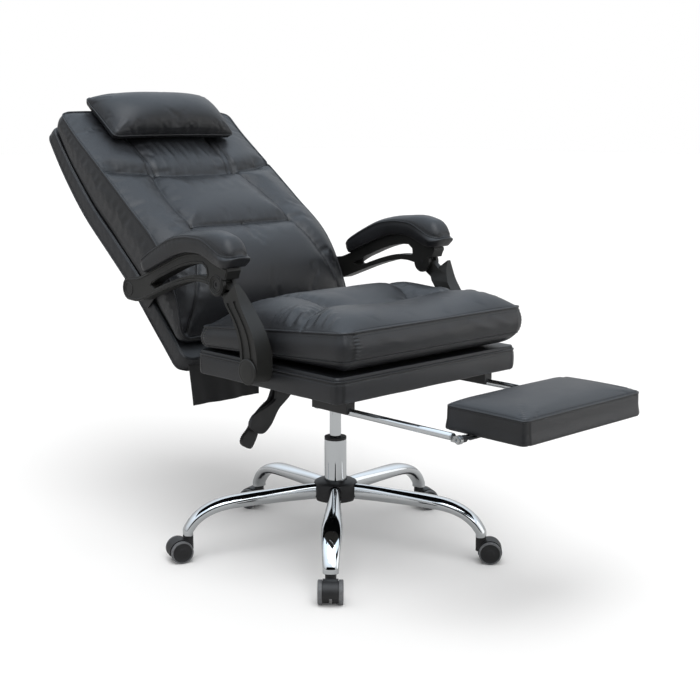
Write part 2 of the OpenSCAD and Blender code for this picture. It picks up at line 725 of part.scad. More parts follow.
// outlines of the arm frame as shares of its span and of the rail's rise, from the front pivot
rail_shares = [[0.886, -0.148], [0.797, 0.016], [0.696, 0.23], [0.544, 0.541],
    [0.396, 0.836], [0.269, 0.984], [0.152, 1], [0.06, 0.902], [-0.019, 0.738],
    [-0.085, 0.63], [-0.125, 0.6]];
under_shares = [[-0.13, 0.5], [-0.115, 0.36], [-0.105, 0.22]];
strut_shares = [[0.08, -0.04], [0.158, 0.016], [0.269, -0.016], [0.405, -0.18],
    [0.551, -0.41], [0.734, -0.754], [0.877, -1.016], [0.943, -1.049]];
slot_top_shares = [[0.737, -0.344], [0.649, -0.098], [0.547, 0.115], [0.443, 0.328],
    [0.342, 0.492], [0.237, 0.607], [0.139, 0.639]];
slot_low_shares = [[0.1, 0.5], [0.097, 0.26], [0.149, 0.23], [0.269, 0.197], [0.402, 0.033],
    [0.551, -0.213], [0.68, -0.459]];
outline_n = 4;

support_front_edge = smooth(scaled(support_front_shares, low_pivot, support_run, support_rise), outline_n);
support_rear_edge = smooth(scaled(support_rear_shares, low_pivot, support_run, support_rise), outline_n);

// Line between the rear edge (0) and the front edge (1) of the arm support
function support_line(s, a, b) = [for (i = [a : b])
    support_rear_edge[i] * (1 - s) + support_front_edge[i] * s];

// A shape between two lines of points that run the same way
module turned(list_a, list_b) {
    polygon(concat(list_a, [for (i = [len(list_b) - 1 : -1 : 0]) list_b[i]]));
}

module arm_support() {
    n = len(support_front_edge) - 1;
    axis = front_pivot - support_line(0.5, n - outline_n, n - outline_n)[0];
    lean = atan2(axis[1], axis[0]);
    color("#242426") difference() {
        union() {
            difference() {
                union() {
                    translate([support_in, 0, 0]) rotate([90, 0, 90]) linear_extrude(support_t)
                        turned(support_front_edge, support_rear_edge);
                    bar_x(support_in, low_pivot, support_end_r, support_t);
                }
                bar_x(support_in - over, front_pivot, boss_r + shoulder_gap, support_t + 2 * over);
                translate([0, front_pivot[0] + support_run, 0]) rotate([90, 0, 0])
                    linear_extrude(3 * support_run)
                        polygon(scaled(support_taper_shares, [support_in, low_pivot[1]],
                            support_t, support_rise));
                for (s = flute_shares)
                    translate([arm_out - groove_t, 0, 0]) rotate([90, 0, 90]) linear_extrude(groove_t + over)
                        turned(support_line(s[0], 5, n - 3), support_line(s[1], 5, n - 3));
            }
            bar_x(arm_out - frame_t / 2 - tongue_t / 2, front_pivot, tongue_eye_r, tongue_t);
            translate([arm_out - frame_t / 2 - tongue_t / 2, front_pivot[0], front_pivot[1]])
                rotate([lean, 0, 0])
                    block([0, -norm(axis), -tongue_w / 2], [tongue_t, norm(axis), tongue_w]);
        }
        bar_x(support_in - over, low_pivot, stud_r + run_fit, stud_end + seat_fit - support_in + over);
        bar_x(support_in - over, front_pivot, arm_pin_r + run_fit, support_t + 2 * over);
    }
}

module support_cap() {
    color("#2c2c2e") translate([arm_out + seat_fit, low_pivot[0], low_pivot[1]]) rotate([90, 0, 90])
        rotate_extrude() polygon([[0, 0], [cap_r, 0], [cap_r, cap_t * 0.4], [cap_r - cap_bevel, cap_t * 0.75],
            [cap_r * 0.7, cap_t * 0.9], [0, cap_t]]);
}

module arm_frame() {
    x = arm_out - frame_t;
    top = smooth(scaled(rail_shares, front_pivot, arm_span, rail_rise), 3);
    low = smooth(scaled(strut_shares, front_pivot, arm_span, rail_rise), 3);
    color("#242426") difference() {
        union() {
            side_plate(concat(arc(rear_pivot, barrel_r, barrel_low_angle, 90, 10), top,
                smooth(scaled(under_shares, front_pivot, arm_span, rail_rise), 2),
                arc(front_pivot, boss_r, boss_angles[0], boss_angles[1], 16), low), x, frame_t);
            bar_x(x - barrel_boss, rear_pivot, barrel_r, frame_t + barrel_boss);
        }
        side_plate(concat(smooth(scaled(slot_top_shares, front_pivot, arm_span, rail_rise), 3),
            smooth(scaled(slot_low_shares, front_pivot, arm_span, rail_rise), 3)),
            x - over, frame_t + 2 * over);
        translate([x + frame_t / 2 - tongue_t / 2 - tongue_fit, 0, 0]) {
            bar_x(0, front_pivot, boss_r + over, tongue_t + 2 * tongue_fit);
            block([0, front_pivot[0] - boss_r - over, front_pivot[1] - boss_r - over],
                [tongue_t + 2 * tongue_fit, 2 * boss_r + 2 * over, boss_r + over]);
        }
        bar_x(x - over, front_pivot, arm_pin_r + run_fit, frame_t + 2 * over);
        bar_x(arm_out - pin_cup_t, front_pivot, pin_cup_r, pin_cup_t + over);
        bar_x(x - barrel_boss - over, rear_pivot, rear_stud_r + open_fit, barrel_boss + over + frame_t * 0.7);
    }
}

module arm_pin() {
    x = arm_out - frame_t;
    color("silver") difference() {
        union() {
            bar_x(x, front_pivot, arm_pin_r, frame_t - pin_cup_t + weld_in);
            bar_x(arm_out - pin_cup_t + run_fit, front_pivot, pin_cup_r - seat_fit, pin_cup_t - pin_head_gap);
        }
        translate([arm_out - pin_socket_t, front_pivot[0], front_pivot[1]]) rotate([0, 90, 0])
            cylinder(r = arm_pin_r, h = pin_socket_t + over, $fn = 6);
    }
}

// Padded armrest top: D-shaped sections along the rail, from the front tip to the rear
pad_sides = 14;
// underside of the pad from the front tip to the rear, in shares like the frame's
pad_line_shares = [[-0.222, 1.05], [-0.204, 0.86], [-0.172, 0.7], [-0.13, 0.62], [-0.085, 0.63],
    [-0.019, 0.738], [0.06, 0.902], [0.152, 1], [0.269, 0.984], [0.396, 0.836], [0.544, 0.541],
    [0.696, 0.23], [0.76, 0.1], [0.8, 0.01]];
// the same stations: share of the width and share of the height
pad_round_shares = [[0.42, 0.22], [0.72, 0.62], [0.88, 0.94], [0.96, 1.12], [1, 1.15], [1, 1.12],
    [1, 1.05], [1, 0.98], [1, 0.94], [1, 0.92], [1, 0.88], [0.97, 0.8], [0.9, 0.66], [0.74, 0.4]];

module arm_pad() {
    path = smooth(scaled(pad_line_shares, front_pivot, arm_span, rail_rise), 3);
    round = smooth(pad_round_shares, 3);
    mid = arm_out - frame_t / 2;
    rings = [for (i = [0 : len(path) - 1])
        let (q = path[min(i + 1, len(path) - 1)] - path[max(i - 1, 0)], t = q / norm(q),
            s = round[i], b = path[i] + [-t[1], t[0]] * seat_fit * 2)
        [for (k = [0 : pad_sides - 1]) let (f = 360 * k / pad_sides, c = cos(f), e = max(sin(f), 0),
            w = -sign(c) * pow(abs(c), 0.55) * pad_w / 2 * s[0],
            h = pow(e, 0.8) * pad_h * s[1] + min(sin(f), 0) * seat_fit)
            [mid + w, b[0] - t[1] * h, b[1] + t[0] * h]]];
    color("#2b2b2d") skinned(rings);
}

// Backrest, with the head pillow and the hanging panels
// The back's own frame has its origin at the hinge, Z up along the back and Y out of its rear
module on_back() { translate([0, hinge_y, hinge_z]) rotate([-back_lean, 0, 0]) children(); }

back_half = back_w / 2;
back_corner = 24;
shell_top_t = 32;
core_t = 12;
core_inset = 16;
core_end = 34;
board_gap = 7;
// rear line of the back: share of its length, share of the deepest bulge
back_bulge = 88;
rear_line_shares = [[0, 0.68], [0.14, 0.68], [0.3, 0.7], [0.5, 0.86], [0.68, 1], [0.84, 0.95],
    [1, 0.72]];
// side seam and middle line of the back cushion: share of its length, share of the lumbar bulge
seam_line_shares = [[0, 0.07], [0.1, 0.42], [0.29, 0.68], [0.5, 0.52], [0.7, 0.34], [0.88, 0.19],
    [1, 0.14]];
middle_line_shares = [[0, 0.1], [0.05, 0.5], [0.1, 0.78], [0.22, 0.98], [0.32, 0.97], [0.44, 0.8],
    [0.58, 0.59], [0.72, 0.45], [0.88, 0.27], [1, 0.16]];
cushion_low = 62;
cushion_drop = 4;
cushion_len = back_top - cushion_low - cushion_drop;
back_roll = 2;
back_sole = 12;
gusset_out = 3;
back_channel_w = 17;
back_channel_d = 13;

function back_share(z) = (z - back_low) / (back_top - back_low);
function rear_line(z) = eased(rear_line_shares, back_share(z)) * back_bulge;
function shell_thick(z) = let (s = max(0, min(1, back_share(z) * 2 - 1)))
    shell_t + (shell_top_t - shell_t) * pow(s, 2);
function core_face(z) = rear_line(z) - shell_thick(z);
function cushion_rear_face(z) = core_face(z) - board_gap;
function seam_face(v) = -eased(seam_line_shares, v) * lumbar;
function middle_face(v) = -eased(middle_line_shares, v) * lumbar;

bar_leaf = 188;
bar_leaf_t = 5;
bar_barrel = 8;

module back_bar() {
    on_back() color("dimgray") difference() {
        union() {
            bar_x(-ear_in + seat_fit, [0, 0], pin_r + bar_barrel, 2 * (ear_in - seat_fit));
            block([-ear_in + seat_fit, core_face(back_low) - seat_fit - bar_leaf_t, 0],
                [2 * (ear_in - seat_fit), bar_leaf_t, bar_leaf]);
        }
        bar_x(-ear_in - over, [0, 0], pin_r + run_fit, 2 * (ear_in + over));
    }
}

// Outline of the curved board in the back's own frame, larger by d
function core_outline(d) = let (zs = [for (k = [0 : 16]) back_low + core_end - d
    + (back_top - back_low - 2 * core_end + 2 * d) * k / 16])
    concat([for (z = zs) [core_face(z) - (d > 0 ? core_t : 0), z]],
        [for (k = [16 : -1 : 0]) [core_face(zs[k]) + core_t + d, zs[k]]]);

module back_board() {
    on_back() color("burlywood")
        side_plate(core_outline(0), -back_half + core_inset, back_w - 2 * core_inset);
}

shell_edge = 6;
shell_us = [-1, -0.95, -0.8, -0.4, 0, 0.4, 0.8, 0.95, 1];
shell_vs = [0, 0.01, 0.03, 0.1, 0.2, 0.32, 0.44, 0.56, 0.68, 0.8, 0.9, 0.96, 0.99, 1];

// Point of the rear shell in the back's own frame; p shares out the thickness, d draws it in
function shell_point(u, v, d, p) = let (r = back_corner - d,
    q = plan(u, v, back_half - d, back_low + d, back_top - d, r), z = q[1])
    [-q[0], rear_line(z) - shell_thick(z) * p, z];

module back_shell() {
    on_back() color("#262628") difference() {
        padded_body(shell_us, shell_vs,
            function(u, v) shell_point(u, v, shell_edge, 0),
            [function(u, v) shell_point(u, v, 0, 0.12),
                function(u, v) shell_point(u, v, 0, 0.85),
                function(u, v) shell_point(u, v, shell_edge / 2, 1),
                function(u, v) shell_point(u * 0.5, v * 0.5 + 0.25, shell_edge / 2, 0.9)],
            [0, core_face((back_low + back_top) / 2) + core_t / 2, (back_low + back_top) / 2]);
        side_plate(core_outline(seat_fit), -back_half + core_inset - seat_fit,
            back_w - 2 * (core_inset - seat_fit));
    }
}

back_us = [-1, -0.94, -0.84, -0.72, -0.62, -0.54, -0.46, -0.4, -0.2, 0, 0.2, 0.4, 0.46, 0.54, 0.62,
    0.72, 0.84, 0.94, 1];
back_vs = [0, 0.015, 0.05, 0.1, 0.16, 0.22, 0.28, 0.333, 0.385, 0.44, 0.51, 0.57, 0.61, 0.645,
    0.68, 0.74, 0.81, 0.88, 0.94, 0.98, 1];
// sewn channels of one half of the back as shares of its half width and of its length
back_channel_shares = [
    [[0, 0.635], [0.42, 0.64], [0.7, 0.655], [1, 0.69]],
    [[0.44, 0.64], [0.47, 0.8], [0.5, 1]],
    [[0.5, 0.645], [0.55, 0.5], [0.57, 0.34]],
    [[0, 0.335], [0.57, 0.34]],
    [[0.57, 0.34], [0.68, 0.19], [0.86, 0.05]]];

function back_plan(u, v, d) = let (r = back_corner - d)
    plan(u, v, back_half - d, cushion_low + d, cushion_low + cushion_len - d, r);

function back_face(u, v) = let (p = back_plan(u, v, 0), round = 1 - pow(abs(u), 5),
    dists = [for (c = back_channel_shares) off_line([abs(u) * back_half, v * cushion_len],
        scaled(c, [0, 0], back_half, cushion_len))],
    ends = min(1, 4 * v, 9 * (1 - v)) * min(1, 6 * (1 - abs(u))),
    dip = back_channel_d * sewn(min(dists), back_channel_w) * ends)
    [p[0], seam_face(v) + (middle_face(v) - seam_face(v)) * round + dip, p[1]];

function back_rim(u, v, d, s) = let (p = back_plan(u, v, d), rear = cushion_rear_face(p[1]))
    [p[0], seam_face(v) + (rear - seam_face(v)) * s, p[1]];

module back_cushion() {
    z = cushion_low + cushion_len / 2;
    on_back() color("#2b2b2d") padded_body(back_us, back_vs,
        function(u, v) back_face(u, v),
        [function(u, v) back_rim(u, v, -gusset_out, 0.45),
            function(u, v) back_rim(u, v, back_roll, 0.96),
            function(u, v) let (p = back_plan(u, v, back_sole)) [p[0], cushion_rear_face(p[1]), p[1]],
            function(u, v) let (p = back_plan(u * 0.5, v * 0.5 + 0.25, back_sole))
                [p[0], cushion_rear_face(p[1]), p[1]]],
        [0, cushion_rear_face(z), z]);
}

pillow_us = [-1, -0.96, -0.86, -0.66, -0.33, 0, 0.33, 0.66, 0.86, 0.96, 1];
pillow_vs = [0, 0.04, 0.16, 0.35, 0.55, 0.75, 0.9, 0.97, 1];
pillow_top = 18;
pillow_corner = 14;
pillow_bulge = 1;
pillow_roll = 5;
pillow_sole = 16;
pillow_low = back_top + pillow_top - pillow_h;

function pillow_plan(u, v, d) = let (r = pillow_corner - d)
    plan(u, v, pillow_w / 2 - d, pillow_low + d, pillow_low + pillow_h - d, r);
// rear face of the pillow: it lies on the cushion's middle line
function pillow_rest(z) = let (v = (z - cushion_low) / cushion_len) middle_face(min(1, v)) - 2 * seat_fit;
function pillow_point(u, v, d, s) = let (p = pillow_plan(u, v, d))
    [p[0], pillow_rest(p[1]) - pillow_t * s, p[1]];
function pillow_swell(u, v) = 0.8 + 0.32 * (1 - pow(abs(u), 3)) * (1 - pow(abs(2 * v - 1), 2.4));

module head_pillow() {
    z = pillow_low + pillow_h / 2;
    on_back() color("#2b2b2d") padded_body(pillow_us, pillow_vs,
        function(u, v) pillow_point(u, v, 0, pillow_swell(u, v)),
        [function(u, v) pillow_point(u, v, -pillow_bulge, 0.5),
            function(u, v) pillow_point(u, v, pillow_roll, 0.12),
            function(u, v) pillow_point(u, v, pillow_sole, 0),
            function(u, v) pillow_point(u * 0.4, v * 0.4 + 0.3, pillow_sole, 0)],
        [0, pillow_rest(z), z]);
}

flap_t = 1.6;
flap_h = 95;
flap_out = 34;
flap_top_half = 238;
flap_low_half = 226;
flap_play = 1.5;
flap_slot = ear_in + flap_play;
flap_n = 12;
flap_fold = 3;

// Two fabric panels that hang behind the seat with shallow folds, one each side of the bar
module rear_flap() {
    along = back_low - seat_fit;
    y = hinge_y + flap_out * cos(back_lean) + along * sin(back_lean);
    z = hinge_z - flap_out * sin(back_lean) + along * cos(back_lean);
    color("#1c1c1e") each_side() skinned([for (k = [0 : flap_n]) let (s = k / flap_n,
        fold = flap_fold * sin(360 * 1.5 * s))
        [for (q = [[1, 0], [1, 1], [0, 1], [0, 0]]) let (half = q[1] == 0 ? flap_top_half : flap_low_half,
            x = flap_slot + (half - flap_slot) * s)
            [x, y + fold * q[1] - flap_t * q[0], z - flap_h * q[1]]]]);
}

stud_plate_t = 3;
stud_plate_w = 76;
stud_plate_h = 48;

module armrest_studs() {
    d = rear_pivot - [hinge_y, hinge_z];
    along = d[0] * sin(back_lean) + d[1] * cos(back_lean);
    out = d[0] * cos(back_lean) - d[1] * sin(back_lean);
    x = back_half + gusset_out + seat_fit;
    barrel_in = arm_out - frame_t - barrel_boss;
    color("dimgray") each_side() {
        on_back() block([x, out - stud_plate_h / 2, along - stud_plate_h / 2],
            [stud_plate_t, stud_plate_w, stud_plate_h]);
        bar_x(x, rear_pivot, barrel_r * 0.7, barrel_in - seat_fit - x);
        bar_x(x, rear_pivot, rear_stud_r, arm_out - frame_t * 0.4 - x);
    }
}

// Footrest: two rods in guides, and a pad that turns about the rods' front ends
rod_r_out = rod_d / 2;
guide_front = 27;
guide_len = 102;
guide_wall = 4.5;
guide_under = 4;
guide_ear = 10;
rod_z = seat_z - rod_drop;
rod_x = foot_w / 2 + rod_side;
foot_axis_drop = 3;
knuckle_reach = 17;
rod_rest = 1;
rod_stop_step = 1.5;
foot_rear = -seat_front - foot_reach;
foot_front = foot_rear - foot_d;
foot_axis = [foot_rear - foot_d * 0.33, rod_z - foot_axis_drop];
rod_front = foot_axis[0] + knuckle_reach;
foot_guide_rear = -seat_front + guide_front + guide_len;
rod_rear = foot_guide_rear - rod_rest;
rod_wall = 1.5;
rod_stop_r = rod_r_out + rod_stop_step;
rod_stop_l = 6;
knuckle_r = 8.5;
knuckle_t = 7;
knuckle_plug = 22;
knuckle_collar = 3;
hinge_bolt_r = 3;
bolt_head_t = 3;
bar_t = 3;
bar_w = 26;
bar_eye_r = 7;
foot_board_t = 12;
foot_board_inset = 10;
foot_z = foot_axis[1] + (bar_eye_r - bar_t) / 2;
foot_crown = 9;
foot_corner = 12;
foot_edge = 5;
foot_waist = 1.5;
foot_lip = 2;

module footrest_guides() {
    y = -seat_front + guide_front;
    w = rod_d + 2 * guide_wall;
    color("dimgray") each_side() difference() {
        union() {
            block([rod_x - w / 2, y, rod_z - guide_under], [w, guide_len, rod_drop + guide_under - seat_fit]);
            block([rod_x - w, y + guide_ear, seat_z - plate_t - seat_fit],
                [2 * w, guide_len - 2 * guide_ear, plate_t]);
        }
        translate([rod_x, y - over, rod_z]) rotate([-90, 0, 0])
            cylinder(r = rod_r_out + run_fit, h = guide_len + 2 * over);
        translate([rod_x, rod_rear - rod_stop_l - seat_fit, rod_z]) rotate([-90, 0, 0])
            cylinder(r = rod_stop_r + seat_fit, h = rod_stop_l + 2 * over);
    }
}

module footrest_rods() {
    color("gainsboro") each_side() translate([rod_x, rod_front, rod_z]) rotate([-90, 0, 0]) difference() {
        union() {
            cylinder(r = rod_r_out, h = rod_rear - rod_front);
            translate([0, 0, rod_rear - rod_front - rod_stop_l]) cylinder(r = rod_stop_r, h = rod_stop_l);
        }
        translate([0, 0, -over]) cylinder(r = rod_r_out - rod_wall, h = rod_rear - rod_front + 2 * over);
    }
}

module footrest_knuckles() {
    color("silver") each_side() {
        difference() {
            union() {
                bar_x(rod_x - knuckle_t / 2, foot_axis, knuckle_r, knuckle_t);
                translate([rod_x - knuckle_t / 2, foot_axis[0], foot_axis[1] - knuckle_r * 0.7])
                    cube([knuckle_t, rod_front - foot_axis[0], knuckle_r * 1.4]);
                translate([rod_x, rod_front - knuckle_collar, rod_z]) rotate([-90, 0, 0]) {
                    cylinder(r = rod_r_out, h = knuckle_collar - run_fit);
                    cylinder(r = rod_r_out - rod_wall - run_fit, h = knuckle_plug);
                }
            }
            bar_x(rod_x - knuckle_t, foot_axis, hinge_bolt_r + run_fit, 2 * knuckle_t);
        }
        difference() {
            union() {
                bar_x(rod_x - knuckle_t / 2 - bar_w / 2, foot_axis, hinge_bolt_r, knuckle_t + bar_w / 2);
                bar_x(rod_x + knuckle_t / 2 + run_fit, foot_axis, knuckle_r * 0.75, bolt_head_t);
            }
            translate([rod_x + (knuckle_t + bolt_head_t) / 2, foot_axis[0], foot_axis[1]]) rotate([0, 90, 0])
                cylinder(r = hinge_bolt_r, h = over + bolt_head_t / 2, $fn = 6);
        }
    }
}

module footrest_bar() {
    eye_x = rod_x - knuckle_t / 2 - run_fit - bar_w / 2;
    top = foot_z - seat_fit;
    color("dimgray") difference() {
        union() {
            block([-eye_x, foot_axis[0] - bar_w / 2, top - bar_t], [2 * eye_x, bar_w, bar_t]);
            for (x = [-eye_x - bar_w / 2, eye_x]) {
                bar_x(x, foot_axis, bar_eye_r, bar_w / 2);
                block([x, foot_axis[0] - bar_eye_r, foot_axis[1]],
                    [bar_w / 2, 2 * bar_eye_r, top - foot_axis[1]]);
            }
        }
        bar_x(-rod_x, foot_axis, hinge_bolt_r + run_fit, 2 * rod_x);
    }
}

// The room of the footrest board, larger by d and reaching down by e
module foot_board_block(d, e) {
    block([-foot_w / 2 + foot_board_inset - d, foot_front + foot_board_inset - d, foot_z - e],
        [foot_w - 2 * foot_board_inset + 2 * d, foot_d - 2 * foot_board_inset + 2 * d,
            foot_board_t + d + e]);
}

module footrest_board() { color("burlywood") foot_board_block(0, 0); }

foot_us = [-1, -0.97, -0.88, -0.6, -0.3, 0, 0.3, 0.6, 0.88, 0.97, 1];
foot_vs = [0, 0.04, 0.16, 0.38, 0.62, 0.84, 0.96, 1];

function foot_point(u, v, d, z) = let (r = foot_corner - d,
    p = plan(u, v, foot_w / 2 - d, foot_front + d, foot_rear - d, r)) [p[0], p[1], z];
function foot_swell(u, v) = (1 - pow(abs(u), 3)) * (1 - pow(abs(2 * v - 1), 2.6));

module footrest_pad() {
    top = foot_z + foot_h;
    color("#2b2b2d") difference() {
        padded_body(foot_us, foot_vs,
            function(u, v) foot_point(u, v, foot_lip, top + foot_crown * foot_swell(u, v)),
            [function(u, v) foot_point(u, v, 0, top - foot_edge),
                function(u, v) foot_point(u, v, foot_waist, foot_z + foot_h / 2),
                function(u, v) foot_point(u, v, 0, foot_z + foot_edge),
                function(u, v) foot_point(u, v, foot_edge, foot_z)],
            [0, (foot_front + foot_rear) / 2, foot_z]);
        foot_board_block(seat_fit, over);
    }
}

// The same piece on the sitter's right side
module right() { mirror([1, 0, 0]) children(); }

base_hub();
base_arm(1);  // base_arm_1
base_arm(2);  // base_arm_2
base_arm(3);  // base_arm_3
base_arm(4);  // base_arm_4
base_arm(5);  // base_arm_5
hub_cover();
column_tube();
column_collar();
gas_rod();
caster_sockets();
gas_cylinder();
mechanism_plate();
mechanism_socket();
seat_screws();
seat_board();
seat_base();
seat_cushion();
support_brackets();
recline_pin();
footrest_guides();
height_lever();
recline_lever();
back_bar();
back_board();
back_shell();
back_cushion();
head_pillow();
rear_flap();
armrest_studs();
right() arm_support();  // arm_support_r
arm_support();  // arm_support_l
right() support_cap();  // support_cap_r
support_cap();  // support_cap_l
right() arm_frame();  // arm_frame_r
arm_frame();  // arm_frame_l
right() arm_pad();  // arm_pad_r
arm_pad();  // arm_pad_l
right() arm_pin();  // arm_pin_r
arm_pin();  // arm_pin_l
footrest_rods();
footrest_knuckles();
footrest_bar();
footrest_board();
footrest_pad();
caster_hood(1);  // caster_hood_1
caster_hood(2);  // caster_hood_2
caster_hood(3);  // caster_hood_3
caster_hood(4);  // caster_hood_4
caster_hood(5);  // caster_hood_5
caster_wheel(1, 1);  // caster_wheel_1a
caster_wheel(1, -1);  // caster_wheel_1b
caster_wheel(2, 1);  // caster_wheel_2a
caster_wheel(2, -1);  // caster_wheel_2b
caster_wheel(3, 1);  // caster_wheel_3a
caster_wheel(3, -1);  // caster_wheel_3b
caster_wheel(4, 1);  // caster_wheel_4a
caster_wheel(4, -1);  // caster_wheel_4b
caster_wheel(5, 1);  // caster_wheel_5a
caster_wheel(5, -1);  // caster_wheel_5b
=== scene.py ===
import bpy, bmesh, json
from math import pi, radians, sin, cos
import numpy as np
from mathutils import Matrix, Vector


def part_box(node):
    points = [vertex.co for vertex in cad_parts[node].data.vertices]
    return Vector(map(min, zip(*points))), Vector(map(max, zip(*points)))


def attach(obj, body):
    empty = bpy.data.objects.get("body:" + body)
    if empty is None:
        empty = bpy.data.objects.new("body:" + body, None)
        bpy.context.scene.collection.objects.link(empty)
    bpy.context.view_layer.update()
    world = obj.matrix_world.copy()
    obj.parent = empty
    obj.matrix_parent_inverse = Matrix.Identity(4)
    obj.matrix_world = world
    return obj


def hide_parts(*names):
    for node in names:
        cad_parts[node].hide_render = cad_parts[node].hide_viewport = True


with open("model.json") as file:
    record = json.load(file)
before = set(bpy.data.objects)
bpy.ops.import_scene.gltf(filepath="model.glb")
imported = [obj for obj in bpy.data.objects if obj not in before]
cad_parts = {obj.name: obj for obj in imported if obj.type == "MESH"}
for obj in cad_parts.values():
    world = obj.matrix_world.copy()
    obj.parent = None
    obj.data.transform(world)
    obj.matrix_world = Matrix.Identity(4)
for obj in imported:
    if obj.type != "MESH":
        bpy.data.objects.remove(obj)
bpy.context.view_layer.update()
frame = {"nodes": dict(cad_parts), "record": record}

scene = bpy.context.scene
scene.view_settings.view_transform = "Standard"
mm = 0.001    # every size below is in millimetres, as in the CAD


def report(stage):
    print("chair:", stage, flush=True)


# ways to draw a line

# each stretch between two neighbours is a cubic that passes through both of them
def through(points, steps, axis=0):
    p = np.moveaxis(np.asarray(points, float), axis, 0)
    e = np.concatenate([2 * p[:1] - p[1:2], p, 2 * p[-1:] - p[-2:-1]])
    t = (np.arange(steps) / steps).reshape((1, -1) + (1,) * (p.ndim - 1))
    a, b, c, d = (e[k:len(p) - 1 + k][:, None] for k in range(4))
    q = (2 * b + (c - a) * t + (2 * a - 5 * b + 4 * c - d) * t ** 2 + (3 * b - a - 3 * c + d) * t ** 3) / 2
    return np.moveaxis(np.concatenate([q.reshape((-1,) + p.shape[1:]), p[-1:]]), 0, axis)


# value at x on a curve of [x, value] pairs, a cubic between neighbours
def eased(table, x):
    xs, ys = np.asarray(table, float).T
    k = np.arange(len(xs))
    lo, hi = np.maximum(k - 1, 0), np.minimum(k + 1, len(xs) - 1)
    slope = (ys[hi] - ys[lo]) / (xs[hi] - xs[lo])
    i = np.clip(np.searchsorted(xs, x, side="right") - 1, 0, len(xs) - 2)
    w = xs[i + 1] - xs[i]
    s = np.clip((x - xs[i]) / w, 0, 1)
    return ((1 + 2 * s) * (1 - s) ** 2 * ys[i] + s * (1 - s) ** 2 * slope[i] * w
            + s * s * (3 - 2 * s) * ys[i + 1] + s * s * (s - 1) * slope[i + 1] * w)


# distance of points (a, b) from a line of points, and how far along it the nearest place lies
def offLine(a, b, line):
    best, run, gone = np.full(np.shape(a), 1e9), np.zeros(np.shape(a)), 0.0
    line = np.asarray(line, float)
    for p, q in zip(line[:-1], line[1:]):
        d = q - p
        length = np.hypot(*d)
        t = np.clip(((a - p[0]) * d[0] + (b - p[1]) * d[1]) / length ** 2, 0, 1)
        off = np.hypot(a - p[0] - t * d[0], b - p[1] - t * d[1])
        run = np.where(off < best, gone + t * length, run)
        best = np.minimum(best, off)
        gone += length
    return best, run


# 1 at no distance, falling away as a bell of the given width
def bell(distance, width):
    return np.exp(-(distance / width) ** 2)


# 1 in the middle and 0 at -1 and 1, flatter on top with a higher power
def swell(x, power):
    return 1 - np.abs(x) ** power


# points evenly spaced along a line of points
def evenly(line, spacing, closed=False):
    line = np.asarray(line, float)
    if closed:
        line = np.vstack([line, line[:1]])
    run = np.concatenate([[0], np.cumsum(np.linalg.norm(np.diff(line, axis=0), axis=1))])
    n = max(2, int(round(run[-1] / spacing)))
    s = np.linspace(0, run[-1], n + 1)
    s = s[:-1] if closed else s
    return np.stack([np.interp(s, run, line[:, k]) for k in range(line.shape[1])], axis=1)


# ways to make a mesh

# the four corners of every cell in a grid of point numbers
def quads(index):
    return np.stack([index[:-1, :-1], index[:-1, 1:], index[1:, 1:], index[1:, :-1]], -1).reshape(-1, 4)


# the points round the edge of a grid, in order
def edgeOf(grid):
    return np.concatenate([grid[0, :-1], grid[:-1, -1], grid[-1, :0:-1], grid[:0:-1, 0]])


# six times the enclosed volume is the sum of every triangle's corner products; below zero it is inside out
def outward(points, faces):
    total = 0.0
    for f in faces if isinstance(faces, list) else [faces]:
        f = np.asarray(f)
        for k in range(1, f.shape[1] - 1):
            a, b, c = points[f[:, 0]], points[f[:, k]], points[f[:, k + 1]]
            total += np.einsum("ij,ij->", a, np.cross(b, c))
    return total > 0


# a point's normal is the sum of its faces' normals, brought to length 1
def normalsOf(points, faces):
    n = np.cross(points[faces[:, 2]] - points[faces[:, 0]], points[faces[:, 3]] - points[faces[:, 1]])
    total = np.zeros_like(points)
    for k in range(4):
        for axis in range(3):
            total[:, axis] += np.bincount(faces[:, k], n[:, axis], len(points))
    return total / np.maximum(np.linalg.norm(total, axis=1, keepdims=True), 1e-9)


# groups of equal-sided faces, each an array, become one mesh that rides on a body
def piece(name, points, faces, finish, body, slot, replaced=(), smooth=True, marks=None, sharp=None):
    groups = [np.asarray(f) for f in (faces if isinstance(faces, list) else [faces])]
    points = np.asarray(points, float)
    if not outward(points, groups):
        groups = [f[:, ::-1] for f in groups]
    mesh = bpy.data.meshes.new(name)
    mesh.from_pydata((points * mm).tolist(), [], [f for g in groups for f in g.tolist()])
    mesh.polygons.foreach_set("use_smooth", [smooth] * len(mesh.polygons))
    if sharp:
        mesh.set_sharp_from_angle(angle=radians(sharp))
    # the marks of painted seam shade go to the finish as a point attribute
    if marks is not None:
        layer = mesh.attributes.new("seam", "FLOAT", "POINT")
        layer.data.foreach_set("value", np.asarray(marks, np.float32).ravel())
    mesh.materials.append(finish)
    mesh.update()
    obj = bpy.data.objects.new(name, mesh)
    scene.collection.objects.link(obj)
    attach(obj, body)
    if replaced:
        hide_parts(*([replaced] if isinstance(replaced, str) else replaced))
    return obj


# several parts as one: their points one after another, their faces renumbered
def joined(parts):
    points, groups, start = [], {}, 0
    for p, faces in parts:
        for f in faces if isinstance(faces, list) else [faces]:
            f = np.asarray(f)
            groups.setdefault(f.shape[1], []).append(f + start)
        points.append(p)
        start += len(p)
    return np.vstack(points), [np.vstack(g) for g in groups.values()]


